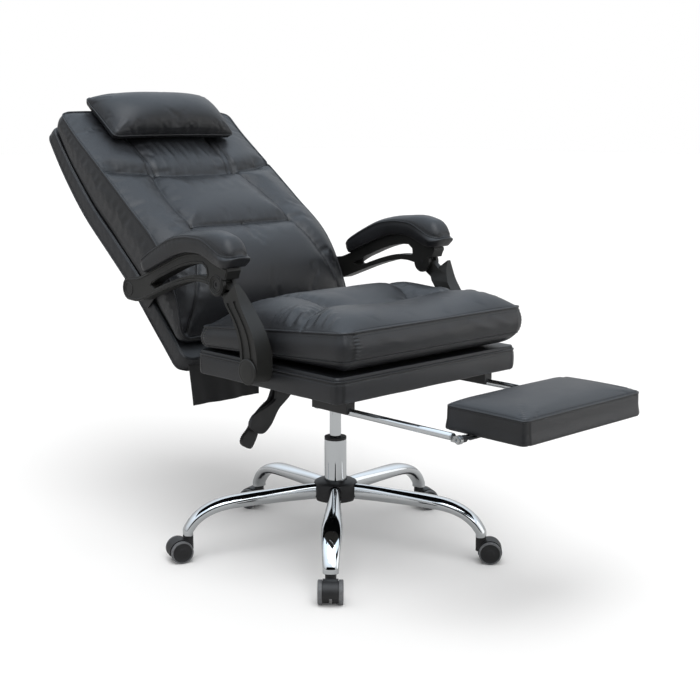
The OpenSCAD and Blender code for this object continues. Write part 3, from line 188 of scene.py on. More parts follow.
# a profile of [radius, height] turned about Z: each point goes round a circle
def lathe(profile, sides=64, closed=False):
    profile = np.asarray(profile, float)
    f = 2 * pi * np.arange(sides) / sides
    ring = np.stack([np.cos(f), np.sin(f)], 1)
    height = np.broadcast_to(profile[:, None, 1:], (len(profile), sides, 1))
    p = np.concatenate([profile[:, None, :1] * ring[None], height], 2)
    index = np.arange(len(profile) * sides).reshape(len(profile), sides)
    index = np.hstack([index, index[:, :1]])
    if closed:
        index = np.vstack([index, index[:1]])
        return p.reshape(-1, 3), [quads(index)]
    # the two end rings are filled by one face each
    return p.reshape(-1, 3), [quads(index), index[:1, :-1][:, ::-1], index[-1:, :-1]]


# rings of points one after another, joined into a tube and filled at both ends
def skin(rings):
    rings = np.asarray(rings, float)
    n, m = rings.shape[:2]
    index = np.arange(n * m).reshape(n, m)
    index = np.hstack([index, index[:, :1]])
    return rings.reshape(-1, 3), [quads(index), index[:1, :-1][:, ::-1], index[-1:, :-1]]


# a round cord along a line: at each point a circle in the plane square to the run, turned by the normal
def cordAlong(line, normals, radius, sides=8, closed=False, flat=1.0):
    line = np.asarray(line, float)
    if closed:
        run = np.roll(line, -1, 0) - np.roll(line, 1, 0)
    else:
        run = np.gradient(line, axis=0)
    run /= np.linalg.norm(run, axis=1, keepdims=True)
    side = np.cross(run, normals)
    side /= np.linalg.norm(side, axis=1, keepdims=True)
    up = np.cross(side, run)
    f = 2 * pi * np.arange(sides) / sides
    ring = line[:, None] + radius * (np.cos(f)[None, :, None] * side[:, None]
                                     + flat * np.sin(f)[None, :, None] * up[:, None])
    index = np.arange(len(line) * sides).reshape(len(line), sides)
    index = np.hstack([index, index[:, :1]])
    if closed:
        return ring.reshape(-1, 3), [quads(np.vstack([index, index[:1]]))]
    return ring.reshape(-1, 3), [quads(index), index[:1, :-1][:, ::-1], index[-1:, :-1]]


# a piped edge: a round cord along a closed line
def welt(line, up, radius, spacing=5):
    return cordAlong(evenly(line, spacing, True), np.atleast_2d(up), radius, 8, True)


thread = {"pitch": 5.2, "length": 3.6, "width": 0.85, "proud": 0.5}


# short threads along a line: each a four-sided spindle, thick in the middle, that dips in at both ends
def stitchRow(line, normals, closed=False):
    both = evenly(np.hstack([line, normals]), thread["pitch"], closed)
    at, up = both[:, :3], both[:, 3:]
    run = np.roll(at, -1, 0) - np.roll(at, 1, 0) if closed else np.gradient(at, axis=0)
    run /= np.linalg.norm(run, axis=1, keepdims=True)
    side = np.cross(run, up)
    side /= np.linalg.norm(side, axis=1, keepdims=True)
    up = np.cross(side, run)
    # along, width and height of each station, as shares
    stations = np.array([[-0.5, 0.45, -0.7], [-0.3, 1, 0.1], [0, 1.1, 0.35], [0.3, 1, 0.1], [0.5, 0.45, -0.7]])
    corner = np.array([[1, 0], [0, 1], [-1, 0], [0, -1]])
    w, proud = thread["width"] / 2, thread["proud"]
    p = (at[:, None, None] + stations[None, :, None, :1] * thread["length"] * run[:, None, None]
         + corner[None, None, :, :1] * stations[None, :, None, 1:2] * w * side[:, None, None]
         + (corner[None, None, :, 1:] * stations[None, :, None, 1:2] * w + stations[None, :, None, 2:] * proud)
         * up[:, None, None])
    each = len(stations) * len(corner)
    index = np.arange(each).reshape(len(stations), len(corner))
    index = np.hstack([index, index[:, :1]])
    one = np.vstack([quads(index), index[:1, 3::-1], index[-1:, :4]])
    return p.reshape(-1, 3), [(one[None] + each * np.arange(len(at))[:, None, None]).reshape(-1, 4)]


# finishes

# an sRGB hex colour as linear light
def linear(hexColour):
    c = np.array([int(hexColour[k:k + 2], 16) / 255 for k in (1, 3, 5)])
    c = np.where(c <= 0.04045, c / 12.92, ((c + 0.055) / 1.055) ** 2.4)
    return (*c.tolist(), 1.0)


# adds a node with its settings, its socket values and what is plugged into it
def add(tree, kind, values=None, links=None, **settings):
    node = tree.nodes.new(kind)
    for name, value in settings.items():
        setattr(node, name, value)
    for socket, value in (values or {}).items():
        node.inputs[socket].default_value = value
    for socket, source in (links or {}).items():
        tree.links.new(source, node.inputs[socket])
    return node


def newFinish(name, surface):
    finish = bpy.data.materials.new(name)
    finish.use_nodes = True
    tree = finish.node_tree
    tree.nodes.clear()
    shader = add(tree, "ShaderNodeBsdfPrincipled", surface)
    add(tree, "ShaderNodeOutputMaterial", links={"Surface": shader.outputs[0]})
    place = add(tree, "ShaderNodeTexCoord").outputs["Object"]
    return finish, tree, shader, place


# noise with a feature size in millimetres
def cloud(tree, place, size, detail=3.0, rough=0.55):
    return add(tree, "ShaderNodeTexNoise", {"Scale": 1 / (size * mm), "Detail": detail, "Roughness": rough},
               {"Vector": place}).outputs[0]


# low where the factor is at start, high where it is at end
def between(tree, factor, low, high, start=0.0, end=1.0):
    return add(tree, "ShaderNodeMapRange", {1: start, 2: end, 3: low, 4: high}, {0: factor}).outputs[0]


# one colour running into another with the factor
def tinted(tree, factor, dark, light, start=0.3, end=0.7):
    ramp = add(tree, "ShaderNodeValToRGB", links={0: factor})
    for stop, position, colour in zip(ramp.color_ramp.elements, (start, end), (dark, light)):
        stop.position, stop.color = position, linear(colour)
    return ramp.outputs[0]


# a bump of the given depth in millimetres, over another where one is given
def raised(tree, height, depth, strength=1.0, under=None):
    links = {"Height": height}
    if under is not None:
        links["Normal"] = under
    return add(tree, "ShaderNodeBump", {"Distance": depth * mm, "Strength": strength}, links).outputs[0]


# the darkest colour below is painted shade, laid into seam furrows, beside welts and down corner seams
hide = {"dark": "#17181a", "light": "#1f2023", "paintedSeamShade": "#0b0b0c", "polished": 0.36, "dull": 0.45,
        "grain": 1.9,      # a little coarser than real, so that it shows
        "creases": 26, "buffing": 90}


# bonded leather, polyurethane rolled with a fine grain and buffed: charcoal black with a soft, slightly cold sheen
def bondedLeather():
    finish, tree, shader, place = newFinish("bondedLeather", {"IOR": 1.5, "Specular IOR Level": 0.42})
    pebble = add(tree, "ShaderNodeTexVoronoi", {"Scale": 1 / (hide["grain"] * mm), "Randomness": 1.0},
                 {"Vector": place}, feature="DISTANCE_TO_EDGE").outputs[0]
    fold = cloud(tree, place, hide["creases"], 3, 0.5)
    worn = cloud(tree, place, hide["buffing"], 2)
    # points marked as lying in a seam take the painted shade colour
    seam = add(tree, "ShaderNodeAttribute", attribute_name="seam").outputs["Fac"]
    tone = tinted(tree, worn, hide["dark"], hide["light"])
    deep = add(tree, "ShaderNodeMix", {"B": linear(hide["paintedSeamShade"])}, {"Factor": seam, "A": tone}, data_type="RGBA")
    tree.links.new(deep.outputs["Result"], shader.inputs["Base Color"])
    grain = between(tree, pebble, 0.0, 1.0, 0.0, 0.12)
    tree.links.new(between(tree, worn, hide["polished"], hide["dull"], 0.3, 0.7), shader.inputs["Roughness"])
    normal = raised(tree, fold, 0.5, 0.16)
    tree.links.new(raised(tree, grain, 0.12, 0.5, normal), shader.inputs["Normal"])
    return finish


# polyester thread, twisted and dyed: a dull dark grey with a painted highlight on its turns where they catch light,
# drawn 2.3 mm apart to show
def sewingThread():
    finish, tree, shader, place = newFinish("sewingThread", {"Roughness": 0.62, "IOR": 1.5})
    twist = add(tree, "ShaderNodeTexWave", {"Scale": 1 / (1.2 * mm) / 6, "Distortion": 0.4},
                {"Vector": place}).outputs[1]
    # the turns are painted lighter: a painted highlight
    tree.links.new(tinted(tree, twist, "#1c1d1e", "#34363a", 0.2, 0.8), shader.inputs["Base Color"])
    tree.links.new(raised(tree, twist, 0.1, 0.6), shader.inputs["Normal"])
    return finish


# woven polypropylene backing cloth: flat black, no shine, its threads drawn 2.8 mm apart so that they show
def backingCloth():
    finish, tree, shader, place = newFinish("backingCloth", {"Roughness": 0.9, "IOR": 1.46, "Sheen Weight": 0.15})
    warp, weft = (add(tree, "ShaderNodeTexWave", {"Scale": 1 / (1.4 * mm) / 6.28, "Distortion": 0.6},
                      {"Vector": place}, bands_direction=axis).outputs[1] for axis in "XZ")
    weave = add(tree, "ShaderNodeMath", links={0: warp, 1: weft}, operation="MULTIPLY").outputs[0]
    tree.links.new(tinted(tree, weave, "#0e0e0f", "#1a1a1b", 0.1, 0.9), shader.inputs["Base Color"])
    tree.links.new(raised(tree, weave, 0.25, 0.8), shader.inputs["Normal"])
    return finish


# chromium plate over polished steel tube: near-mirror, faintly cool, with the ripple of the tube under it
def chromePlate():
    finish, tree, shader, place = newFinish("chromePlate", {"Metallic": 1.0, "Base Color": linear("#d3d6d8")})
    haze = cloud(tree, place, 40, 3)
    tree.links.new(between(tree, haze, 0.035, 0.085, 0.3, 0.7), shader.inputs["Roughness"])
    tree.links.new(raised(tree, cloud(tree, place, 26, 1), 0.12, 0.25), shader.inputs["Normal"])
    return finish


# bright zinc plate on pressed or turned steel: pale grey, softly brushed
def zincPlate():
    finish, tree, shader, place = newFinish("zincPlate", {"Metallic": 1.0})
    stain = cloud(tree, place, 12, 4)
    tree.links.new(tinted(tree, stain, "#9fa2a4", "#c6c8c8"), shader.inputs["Base Color"])
    tree.links.new(between(tree, stain, 0.22, 0.36, 0.3, 0.7), shader.inputs["Roughness"])
    tree.links.new(raised(tree, cloud(tree, place, 0.8, 2), 0.05, 0.3), shader.inputs["Normal"])
    return finish


# powder coat baked on pressed steel: black, half matt, with orange peel about 1.5 mm wide
def powderCoat():
    finish, tree, shader, place = newFinish("powderCoat", {"IOR": 1.5})
    tree.links.new(tinted(tree, cloud(tree, place, 60, 2), "#131314", "#1b1b1c"), shader.inputs["Base Color"])
    peel = cloud(tree, place, 1.5, 2)
    tree.links.new(between(tree, peel, 0.42, 0.55, 0.3, 0.7), shader.inputs["Roughness"])
    tree.links.new(raised(tree, peel, 0.06, 0.5), shader.inputs["Normal"])
    return finish


# glass-filled nylon, moulded in a spark-eroded tool: black, satin, with a fine even texture
def mouldedNylon(name="mouldedNylon", dark="#1a1a1b", light="#242425"):
    finish, tree, shader, place = newFinish(name, {"IOR": 1.53, "Specular IOR Level": 0.32})
    spark = cloud(tree, place, 0.9, 3, 0.7)                # spark texture of 0.9 mm, coarser than real, to show
    flow = cloud(tree, place, 70, 2)
    tree.links.new(tinted(tree, flow, dark, light), shader.inputs["Base Color"])
    tree.links.new(between(tree, spark, 0.42, 0.54, 0.3, 0.7), shader.inputs["Roughness"])
    tree.links.new(raised(tree, spark, 0.05, 0.6), shader.inputs["Normal"])
    return finish


# polyurethane tyre, cast: mid grey, rubbery, dusty where it rolls
def castTyre():
    finish, tree, shader, place = newFinish("castTyre", {"IOR": 1.5})
    dust = cloud(tree, place, 6, 4)
    tree.links.new(tinted(tree, dust, "#4c4d4f", "#67686a"), shader.inputs["Base Color"])
    tree.links.new(between(tree, dust, 0.45, 0.65, 0.3, 0.7), shader.inputs["Roughness"])
    return finish


# birch plywood, rotary cut and stained black-brown under its dust cloth, with long grain across the board
def stainedPlywood():
    finish, tree, shader, place = newFinish("stainedPlywood", {"IOR": 1.5, "Roughness": 0.7})
    along = add(tree, "ShaderNodeMapping", {"Scale": (0.08, 1.0, 1.0)}, {"Vector": place}).outputs[0]
    grain = add(tree, "ShaderNodeTexNoise", {"Scale": 1 / (3 * mm), "Detail": 4.0}, {"Vector": along}).outputs[0]
    tree.links.new(tinted(tree, grain, "#211e1b", "#2e2a25"), shader.inputs["Base Color"])
    tree.links.new(raised(tree, grain, 0.15, 0.4), shader.inputs["Normal"])
    return finish


leather, seamThread, flapCloth = bondedLeather(), sewingThread(), backingCloth()
chrome, zinc, coat, nylon = chromePlate(), zincPlate(), powderCoat(), mouldedNylon()
armNylon = mouldedNylon("armNylon", "#171716", "#20201e")
tyre, plywood = castTyre(), stainedPlywood()
report("finishes are mixed")


# padded pieces: a front sheet, rings of side sheet round its edge, and a rear sheet

# a rectangle with rounded corners: each row's half width shrinks as a circle within r of either end
def rounded(u, v, half, low, high, r):
    b = low + (high - low) * v
    s = np.minimum(b - low, high - b)
    drawn = np.where(s < r, r - np.sqrt(np.maximum(r * r - (r - s) ** 2, 0)), 0)
    return u * (half - drawn), b


# steps from -1 to 1, closer together near both ends
def steps(count, tight=0.35):
    s = np.linspace(-1, 1, count)
    return s + tight * np.sin(pi * s) / pi


# u runs from -1 to 1 across a sheet, v from 0 to 1 along it
def grid(nu, nv):
    return np.meshgrid(steps(nu), (steps(nv) + 1) / 2)


# one closed mesh of the front sheet's grid, the rings of side sheet and the rear sheet's grid
def padMesh(front, sides, rear):
    nv, nu = front.shape[:2]
    n, r = 2 * (nu + nv) - 4, len(sides)
    frontIndex = np.arange(nv * nu).reshape(nv, nu)
    sideIndex = nv * nu + np.arange(r * n).reshape(r, n)
    rearIndex = nv * nu + r * n + frontIndex
    strip = np.vstack([edgeOf(frontIndex)[None], sideIndex, edgeOf(rearIndex)[None]])
    strip = np.hstack([strip, strip[:, :1]])
    faces = np.vstack([quads(frontIndex), quads(strip)[:, ::-1], quads(rearIndex)[:, ::-1]])
    points = np.concatenate([front.reshape(-1, front.shape[2]), sides.reshape(-1, sides.shape[2]),
                             rear.reshape(-1, rear.shape[2])])
    return points, faces


# a list with one entry for each point, shared out again to front sheet, rings and rear sheet
def padParts(values, front, sides):
    a, b = front.shape[0] * front.shape[1], sides.shape[0] * sides.shape[1]
    return (values[:a].reshape(front.shape[:2] + (-1,)), values[a:a + b].reshape(sides.shape[:2] + (-1,)),
            values[a + b:].reshape(front.shape[:2] + (-1,)))


# the rings are made finer stretch by stretch between the four corners, so that they keep meeting the sheets
def finer(front, strip, rear, k):
    nv, nu = front.shape[:2]
    cuts = np.cumsum([0, nu - 1, nv - 1, nu - 1, nv - 1])
    wrapped = np.concatenate([strip, strip[:, :1]], 1)
    spans = [through(wrapped[:, a:b + 1], k, 1)[:, :-1] for a, b in zip(cuts[:-1], cuts[1:])]
    sides = through(np.concatenate(spans, 1), k, 0)
    return through(through(front, k, 0), k, 1), sides[1:-1], through(through(rear, k, 0), k, 1)


clothRule = {"steps": 20, "quality": 5, "mass": 0.3, "stretch": 15, "shear": 5, "bend": 0.5}


# the cut panels are sewn at the pinned points and stuffed: cloth under pressure, each point's move capped softly
def stuffed(points, faces, held, filling):
    mesh = bpy.data.meshes.new("panels")
    mesh.from_pydata((points * mm).tolist(), [], faces.tolist())
    mesh.update()
    obj = bpy.data.objects.new("panels", mesh)
    scene.collection.objects.link(obj)
    group = obj.vertex_groups.new(name="sewn")
    level = np.round(np.clip(held, 0, 1), 1)
    for value in np.unique(level[level > 0]):
        group.add(np.nonzero(level == value)[0].tolist(), float(value), "REPLACE")
    cloth = obj.modifiers.new("stuffing", "CLOTH")
    rule = cloth.settings
    rule.vertex_group_mass = "sewn"
    rule.quality = clothRule["quality"]
    rule.mass = clothRule["mass"]
    rule.tension_stiffness = rule.compression_stiffness = clothRule["stretch"]
    rule.shear_stiffness = clothRule["shear"]
    rule.bending_stiffness = clothRule["bend"]
    rule.use_pressure = True
    rule.uniform_pressure_force = filling["pressure"]
    rule.shrink_min = -filling["slack"]      # cloth cut larger than its place
    rule.effector_weights.gravity = 0
    cloth.point_cache.frame_start, cloth.point_cache.frame_end = 1, clothRule["steps"]
    for step in range(1, clothRule["steps"] + 1):
        scene.frame_set(step)
    settled = obj.evaluated_get(bpy.context.evaluated_depsgraph_get()).data
    moved = np.empty(len(points) * 3)
    settled.vertices.foreach_get("co", moved)
    moved = moved.reshape(-1, 3) / mm - points
    scene.frame_set(1)
    bpy.data.objects.remove(obj)
    length = np.maximum(np.linalg.norm(moved, axis=1, keepdims=True), 1e-6)
    return points + moved * (filling["cap"] * np.tanh(length / filling["cap"]) / length)


# folds on a flat sheet: each [a0, b0, a1, b1, width, height] is a ridge that fades towards both ends
def foldsOn(a, b, folds):
    total = np.zeros(np.shape(a))
    for a0, b0, a1, b1, width, height in folds:
        length = np.hypot(a1 - a0, b1 - b0)
        along = ((a - a0) * (a1 - a0) + (b - b0) * (b1 - b0)) / length ** 2
        across = ((a - a0) * (b1 - b0) - (b - b0) * (a1 - a0)) / length
        fade = np.clip(along, 0, 1) * np.clip(1 - along, 0, 1) * 4
        total += height * bell(across, width) * np.sqrt(fade)
    return total


# sampling a finished front sheet at places given as shares u, v of its grid
def onSheet(sheet, us, vs, u, v):
    i, j = np.interp(u, us, np.arange(len(us))), np.interp(v, vs, np.arange(len(vs)))
    i0, j0 = np.clip(i.astype(int), 0, len(us) - 2), np.clip(j.astype(int), 0, len(vs) - 2)
    a, b = (i - i0)[:, None], (j - j0)[:, None]
    return ((1 - a) * (1 - b) * sheet[j0, i0] + a * (1 - b) * sheet[j0, i0 + 1]
            + (1 - a) * b * sheet[j0 + 1, i0] + a * b * sheet[j0 + 1, i0 + 1])


# everything that one padded piece goes through: the sheets are stuffed, made k times finer, and raised along
# their normals by what detail gives, which also marks the points that lie in a seam for painted shade
def upholster(front, rings, rear, ringSteps, k, filling, heldFront, heldRings, sheetPlan, detail):
    strip = through(rings, ringSteps)
    sides = strip[1:-1]
    points, faces = padMesh(front, sides, rear)
    heldSides = np.broadcast_to(through(np.asarray(heldRings, float)[:, None], ringSteps)[1:-1], sides.shape[:2])
    heldRear = np.ones(rear.shape[0] * rear.shape[1])
    held = np.concatenate([heldFront.ravel(), np.clip(heldSides, 0, 1).ravel(), heldRear])
    points = stuffed(points, faces, held, filling)
    front, sides, rear = padParts(points, front, sides)
    strip = np.concatenate([edgeOf(front)[None], sides, edgeOf(rear)[None]])
    front, sides, rear = finer(front, strip, rear, k)
    plan = through(through(sheetPlan, k, 0), k, 1)
    points, faces = padMesh(front, sides, rear)
    normals = normalsOf(points, faces)
    if not outward(points, faces):
        normals = -normals
    r = len(sides)
    run = np.concatenate([[0], np.cumsum(np.linalg.norm(np.diff(edgeOf(front), axis=0), axis=1))])
    deep = (np.arange(r) + 1) / (r + 1) * (len(rings) - 1)
    lift, mark = detail(plan[..., 0], plan[..., 1], *np.meshgrid(run, deep))
    zero = np.zeros(rear.shape[0] * rear.shape[1])
    points = points + normals * np.concatenate([lift[0].ravel(), lift[1].ravel(), zero])[:, None]
    # the shade beside every welt
    beside = 0.9 * bell(np.linalg.norm(sides - edgeOf(front)[None], axis=2) - 3, 1.6)
    marks = np.concatenate([mark[0].ravel(), np.maximum(mark[1], beside).ravel(), zero])
    front, sides, rear = padParts(points, front, sides)
    normals = padParts(normals, front, sides)
    return {"points": points, "faces": faces, "marks": marks, "front": front, "sides": sides, "normals": normals,
            "ring": lambda key: min(len(sides) - 1, int(key * ringSteps * k) - 1)}


# lines of one half, then the same on the other
def mirrored(lines):
    return [np.asarray(l, float) for l in lines] + [np.asarray(l, float) * [-1, 1] for l in lines]


def nearest(a, b, lines):
    return np.min([offLine(a, b, l)[0] for l in lines], axis=0)


# a sewn seam: a sharp furrow, and short gathers across it that die away on both sides; its bottom is marked for
# painted shade
def furrow(a, b, line, depth=2.6, width=3.0, gather=0.0, pitch=17.0, reach=16.0, phase=0.0):
    off, run = offLine(a, b, line)
    wave = np.sin(2 * pi * run / pitch + phase + 1.7 * np.sin(run / 23 + phase))
    return -depth * bell(off, width) + gather * wave * bell(off - 0.55 * reach, reach), bell(off, 1.7)


# a line of [across, along] laid on the finished front sheet, with the sheet's normals
def seamOnSheet(pad, us, vs, toShares, line):
    line = evenly(through(line, 6), 5)
    u, v = toShares(line[:, 0], line[:, 1])
    return onSheet(pad["front"], us, vs, u, v), onSheet(pad["normals"][0], us, vs, u, v)


# the closed edge at the bottom of a furrow: a cord painted dark as the shade where the two panels meet
def seamEdges(pad, us, vs, toShares, lines, radius=1.6):
    return joined([cordAlong(*seamOnSheet(pad, us, vs, toShares, l), radius, 6, False, 0.5) for l in lines])


# distance along a side sheet to the nearest of the four upright corner seams
def toCorners(run, width, depth):
    total = run[0, -1] + (run[0, -1] - run[0, -2])
    at = np.cumsum([0, width, depth, width])
    return np.min([np.abs(run - c * total / (2 * width + 2 * depth)) for c in at], axis=0)


threads = {}               # rows of stitches, body by body
upright = (0, 0, 1.0)      # the way that welts on level seams stand


def sew(body, line, normals, closed=False, proud=0.3):
    threads.setdefault(body, []).append(stitchRow(line + normals * proud, normals, closed))


# a row of stitches round the front sheet, a few grid rows in from its edge
def sewFront(body, pad, rows=2):
    inner = slice(rows, -rows)
    sew(body, edgeOf(pad["front"][inner, inner]), edgeOf(pad["normals"][0][inner, inner]), True)


# a row of stitches along one ring of the side sheet
def sewRing(body, pad, row):
    sew(body, pad["sides"][row], pad["normals"][1][row], True)


# the cushion's plan, the height of its two seams over its underside, its crown, and [depth, width] of each dip
seat = {"half": 269, "front": -313, "rear": 139, "corner": 22, "low": 472.3, "frontSeam": 88, "rearSeam": 50,
        "frontLift": 30, "rearLift": 8, "crown": [[0, 49], [0.3, 50], [0.68, 65], [1, 62]], "bulge": 8, "tuck": 26,
        "foot": 60, "nu": 61, "nv": 51, "welt": 2.4, "seamDip": [9, 17], "valleyDip": [8, 30], "meetingDip": [9, 34],
        "dish": [19, 165], "filling": {"pressure": 5, "slack": 0.0, "cap": 7}}
# seams of the top as [across, along] from the middle of the chair, one side
seatSeams = [[[188, 144], [178, 60], [160, -10], [140, -70], [120, -120]],
             [[120, -120], [160, -148], [210, -168], [268, -190]]]
seatValley = [[0, -138], [60, -134], [120, -120]]


# height = seam line + crown that falls to 0 at the edge - dips along the sewn lines - a dish in the middle
def makeSeatCushion():
    s = seat
    U, V = grid(s["nu"], s["nv"])
    topSeam = lambda v: s["low"] + s["frontSeam"] + (s["rearSeam"] - s["frontSeam"]) * v
    lowSeam = lambda v: s["low"] + s["frontLift"] + (s["rearLift"] - s["frontLift"]) * v

    def level(u, v, draw, height):
        a, b = rounded(u, v, s["half"] - draw, s["front"] + draw, s["rear"] - draw, s["corner"] - draw)
        return np.stack([a, b, np.broadcast_to(height, a.shape)], -1)

    crown = swell(U, 8) * np.where(V < 0.5, swell(2 * V - 1, 7), swell(2 * V - 1, 3))
    rise = eased(s["crown"], V) * crown
    flat = level(U, V, 0, 0.0)
    a, b = flat[..., 0], flat[..., 1]
    across = np.abs(a)
    sewnLine = nearest(across, b, [np.array(l) for l in seatSeams])
    valley = offLine(across, b, seatValley)[0]
    (seamDeep, seamWide), (valleyDeep, valleyWide) = s["seamDip"], s["valleyDip"]
    (meetDeep, meetWide), (dishDeep, dishWide) = s["meetingDip"], s["dish"]
    dip = (seamDeep * bell(sewnLine, seamWide) + valleyDeep * bell(valley, valleyWide)) * np.clip(crown * 1.6, 0, 1)
    meeting = np.hypot(across - seatSeams[1][0][0], b - seatSeams[1][0][1])
    dip += (meetDeep * bell(meeting, meetWide)
            + dishDeep * crown * bell(across, dishWide) * np.clip((-40 - b) / 70, 0, 1))
    front = level(U, V, 0, topSeam(V) + rise - dip)
    rear = level(U, V, s["foot"], s["low"])
    rings = np.stack([edgeOf(r) for r in (
        front, level(U, V, -s["bulge"], (topSeam(V) + lowSeam(V)) / 2), level(U, V, 0, lowSeam(V)),
        level(U, V, s["tuck"], s["low"] + (lowSeam(V) - s["low"]) * 0.35), rear)])
    held = np.maximum(bell(sewnLine, 7), 0.6 * bell(valley, 12))
    held[[0, -1], :] = held[:, [0, -1]] = 1

    # creases that the photograph shows along the near edge, over the front roll and down the gusset
    edgeFolds = [[side * (262 - 2 * k % 3), y, side * (262 - reach), y + tilt, 5.5, height]
                 for side in (-1, 1) for k, (y, reach, tilt, height) in enumerate([
                     (-88, 44, -16, 2.2), (-110, 56, -10, 3.4), (-131, 48, 6, 4.0), (-150, 34, 8, -3.0),
                     (-166, 60, 12, 4.4), (-187, 40, -6, 3.6), (-206, 30, 4, -2.6), (-222, 62, 14, 3.8),
                     (-246, 44, 10, 2.4), (-268, 30, 8, 1.6)])]
    rollFolds = [[-60, -286, 30, -214, 15, 1.6], [40, -300, 92, -236, 12, 1.5], [150, -296, 196, -230, 14, 1.8],
                 [-168, -292, -120, -236, 13, 1.4], [-20, -120, -96, 40, 16, -1.6], [60, -60, 20, 70, 15, -1.3]]
    sideFolds = [[60, 0.3, 150, 1.4, 16, 1.0], [330, 0.4, 420, 1.5, 14, 1.5], [400, 0.3, 470, 1.3, 12, 1.4],
                 [250, 0.5, 300, 1.6, 16, 0.9], [620, 0.4, 700, 1.5, 15, 0.9], [820, 0.3, 900, 1.5, 15, 1.0]]

    def detail(a, b, run, deep):
        lift, mark = foldsOn(a, b, edgeFolds + rollFolds), np.zeros(a.shape)
        for k, line in enumerate(mirrored(seatSeams)):
            groove, dark = furrow(a, b, line, 3.0, 3.2, 0.8, 21, 18, k)
            lift, mark = lift + groove, np.maximum(mark, dark)
        side = foldsOn(run, deep * 60, [[f[0], f[1] * 60, f[2], f[3] * 60, f[4], f[5]] for f in sideFolds])
        side = side * np.clip(2 - deep, 0, 1)
        rim = bell((deep - 2) * 30, 4)
        corner = toCorners(run, 2 * s["half"], s["rear"] - s["front"])
        inGusset = np.clip(4 * (2 - deep), 0, 1)
        puckers = 0.9 * np.sin(deep * 26) * bell(corner - 9, 7) * inGusset
        side = side - 2.2 * bell(corner, 3.5) * inGusset + puckers
        # the marks paint shade into the seam furrows, along the lower welt and down the gusset's corner seams
        return (lift, side - 1.5 * rim), (mark, np.maximum(rim, bell(corner, 1.9) * inGusset))

    pad = upholster(front, rings, rear, 8, 3, s["filling"], held, [1, 0.3, 1, 0.9, 1], flat[..., :2], detail)
    cushion = piece("seatCushion", pad["points"], pad["faces"], leather, "seat", "leather", "seat_cushion",
                    marks=pad["marks"])
    us, vs = through(U[0], 3), through(V[:, 0], 3)
    welts = [welt(edgeOf(pad["front"]), upright, s["welt"]),
             welt(pad["sides"][pad["ring"](2)], upright, s["welt"] * 0.9)]
    piece("seatWelts", *joined(welts), leather, "seat", "leather")
    sewFront("seat", pad)
    for key, shift in ((1, -18), (2, -3)):
        sewRing("seat", pad, pad["ring"](key) + shift)
    share = lambda a, b: (a / s["half"], (b - s["front"]) / (s["rear"] - s["front"]))
    edges = seamEdges(pad, us, vs, share, mirrored(seatSeams))
    # these cords take the painted seam shade all over
    piece("seatSeamEdges", *edges, leather, "seat", "leather", marks=np.ones(len(edges[0])))
    report("seat cushion is stuffed")


makeSeatCushion()

seatBox = {"half": 270, "front": -297, "rear": 148, "corner": 14, "low": 417, "high": 472, "welt": 2.3,
           "nu": 55, "nv": 47, "filling": {"pressure": 3, "slack": 0.0, "cap": 4}}


# a box of rounded rectangles, one for each height, each drawn in or let out a little
def makeSeatBase():
    s = seatBox
    U, V = grid(s["nu"], s["nv"])

    def level(draw, height):
        a, b = rounded(U, V, s["half"] - draw, s["front"] + draw, s["rear"] - draw, max(s["corner"] - draw, 3))
        return np.stack([a, b, np.broadcast_to(height, a.shape)], -1)

    front = level(3, s["high"] - 0.4)
    rear = level(6, s["low"] + 1.2)
    rings = np.stack([edgeOf(r) for r in (front, level(-0.5, s["high"] - 9), level(-2.5, (s["high"] + s["low"]) / 2),
                                          level(-1, s["low"] + 5), rear)])
    held = np.ones(U.shape)
    corners = np.array([[x, y] for x, y in ((-s["half"], s["front"]), (s["half"], s["front"]), (s["half"], s["rear"]),
                                            (-s["half"], s["rear"]))])

    def detail(a, b, run, deep):
        seamLine = bell(toCorners(run, 2 * s["half"], s["rear"] - s["front"]), 2.6)
        wave = 0.5 * np.sin(run / 37) * np.sin(run / 61 + 1) * np.clip(deep, 0, 1)
        under = bell((deep - 1) * 14 - 3, 1.6) + bell((deep - 1) * 14 + 3, 1.6)
        flat = np.zeros(a.shape)
        # the upright corner seams and two lines beside the welt are marked for painted shade
        return (flat, -1.6 * seamLine + wave - 0.8 * under), (flat, np.maximum(seamLine, under))

    pad = upholster(front, rings, rear, 3, 3, s["filling"], held, [1, 0.6, 0, 0.5, 1],
                    np.stack([U * s["half"], V], -1), detail)
    box = piece("seatBase", pad["points"], pad["faces"], leather, "seat", "leather", "seat_base", marks=pad["marks"])
    row = pad["ring"](1)
    piece("seatBaseWelt", *joined([welt(pad["sides"][row], upright, s["welt"])]), leather, "seat", "leather")
    for shift in (4, -2):
        sewRing("seat", pad, row + shift)
    # two rows down each upright corner seam
    for x, y in corners * 0.985:
        for dx, dy in ((0, 12 * np.sign(-y)), (12 * np.sign(-x), 0)):
            grab = np.hypot(pad["sides"][..., 0] - x - dx, pad["sides"][..., 1] - y - dy)
            pick = [int(np.argmin(ring)) for ring in grab[3:-3]]
            rows = np.arange(3, len(grab) - 3)
            sew("seat", pad["sides"][rows, pick], pad["normals"][1][rows, pick])
    report("seat base is covered")


makeSeatBase()

# the back's own frame: origin at the hinge, z up along the back, y out of its rear
lean, hinge = radians(44.5), np.array([0, 190.0, 430.0])


# a point y behind the hinge line and z up the back: both turned by the lean
def onBack(p):
    p = np.asarray(p, float)
    x, y, z = p[..., 0], p[..., 1], p[..., 2]
    return np.stack([x, hinge[1] + y * cos(lean) + z * sin(lean), hinge[2] - y * sin(lean) + z * cos(lean)], -1)


def turnBack(n):
    x, y, z = n[..., 0], n[..., 1], n[..., 2]
    return np.stack([x, y * cos(lean) + z * sin(lean), -y * sin(lean) + z * cos(lean)], -1)


frontwards, backwards = turnBack(np.array([0, -1.0, 0])), turnBack(np.array([0, 1.0, 0]))


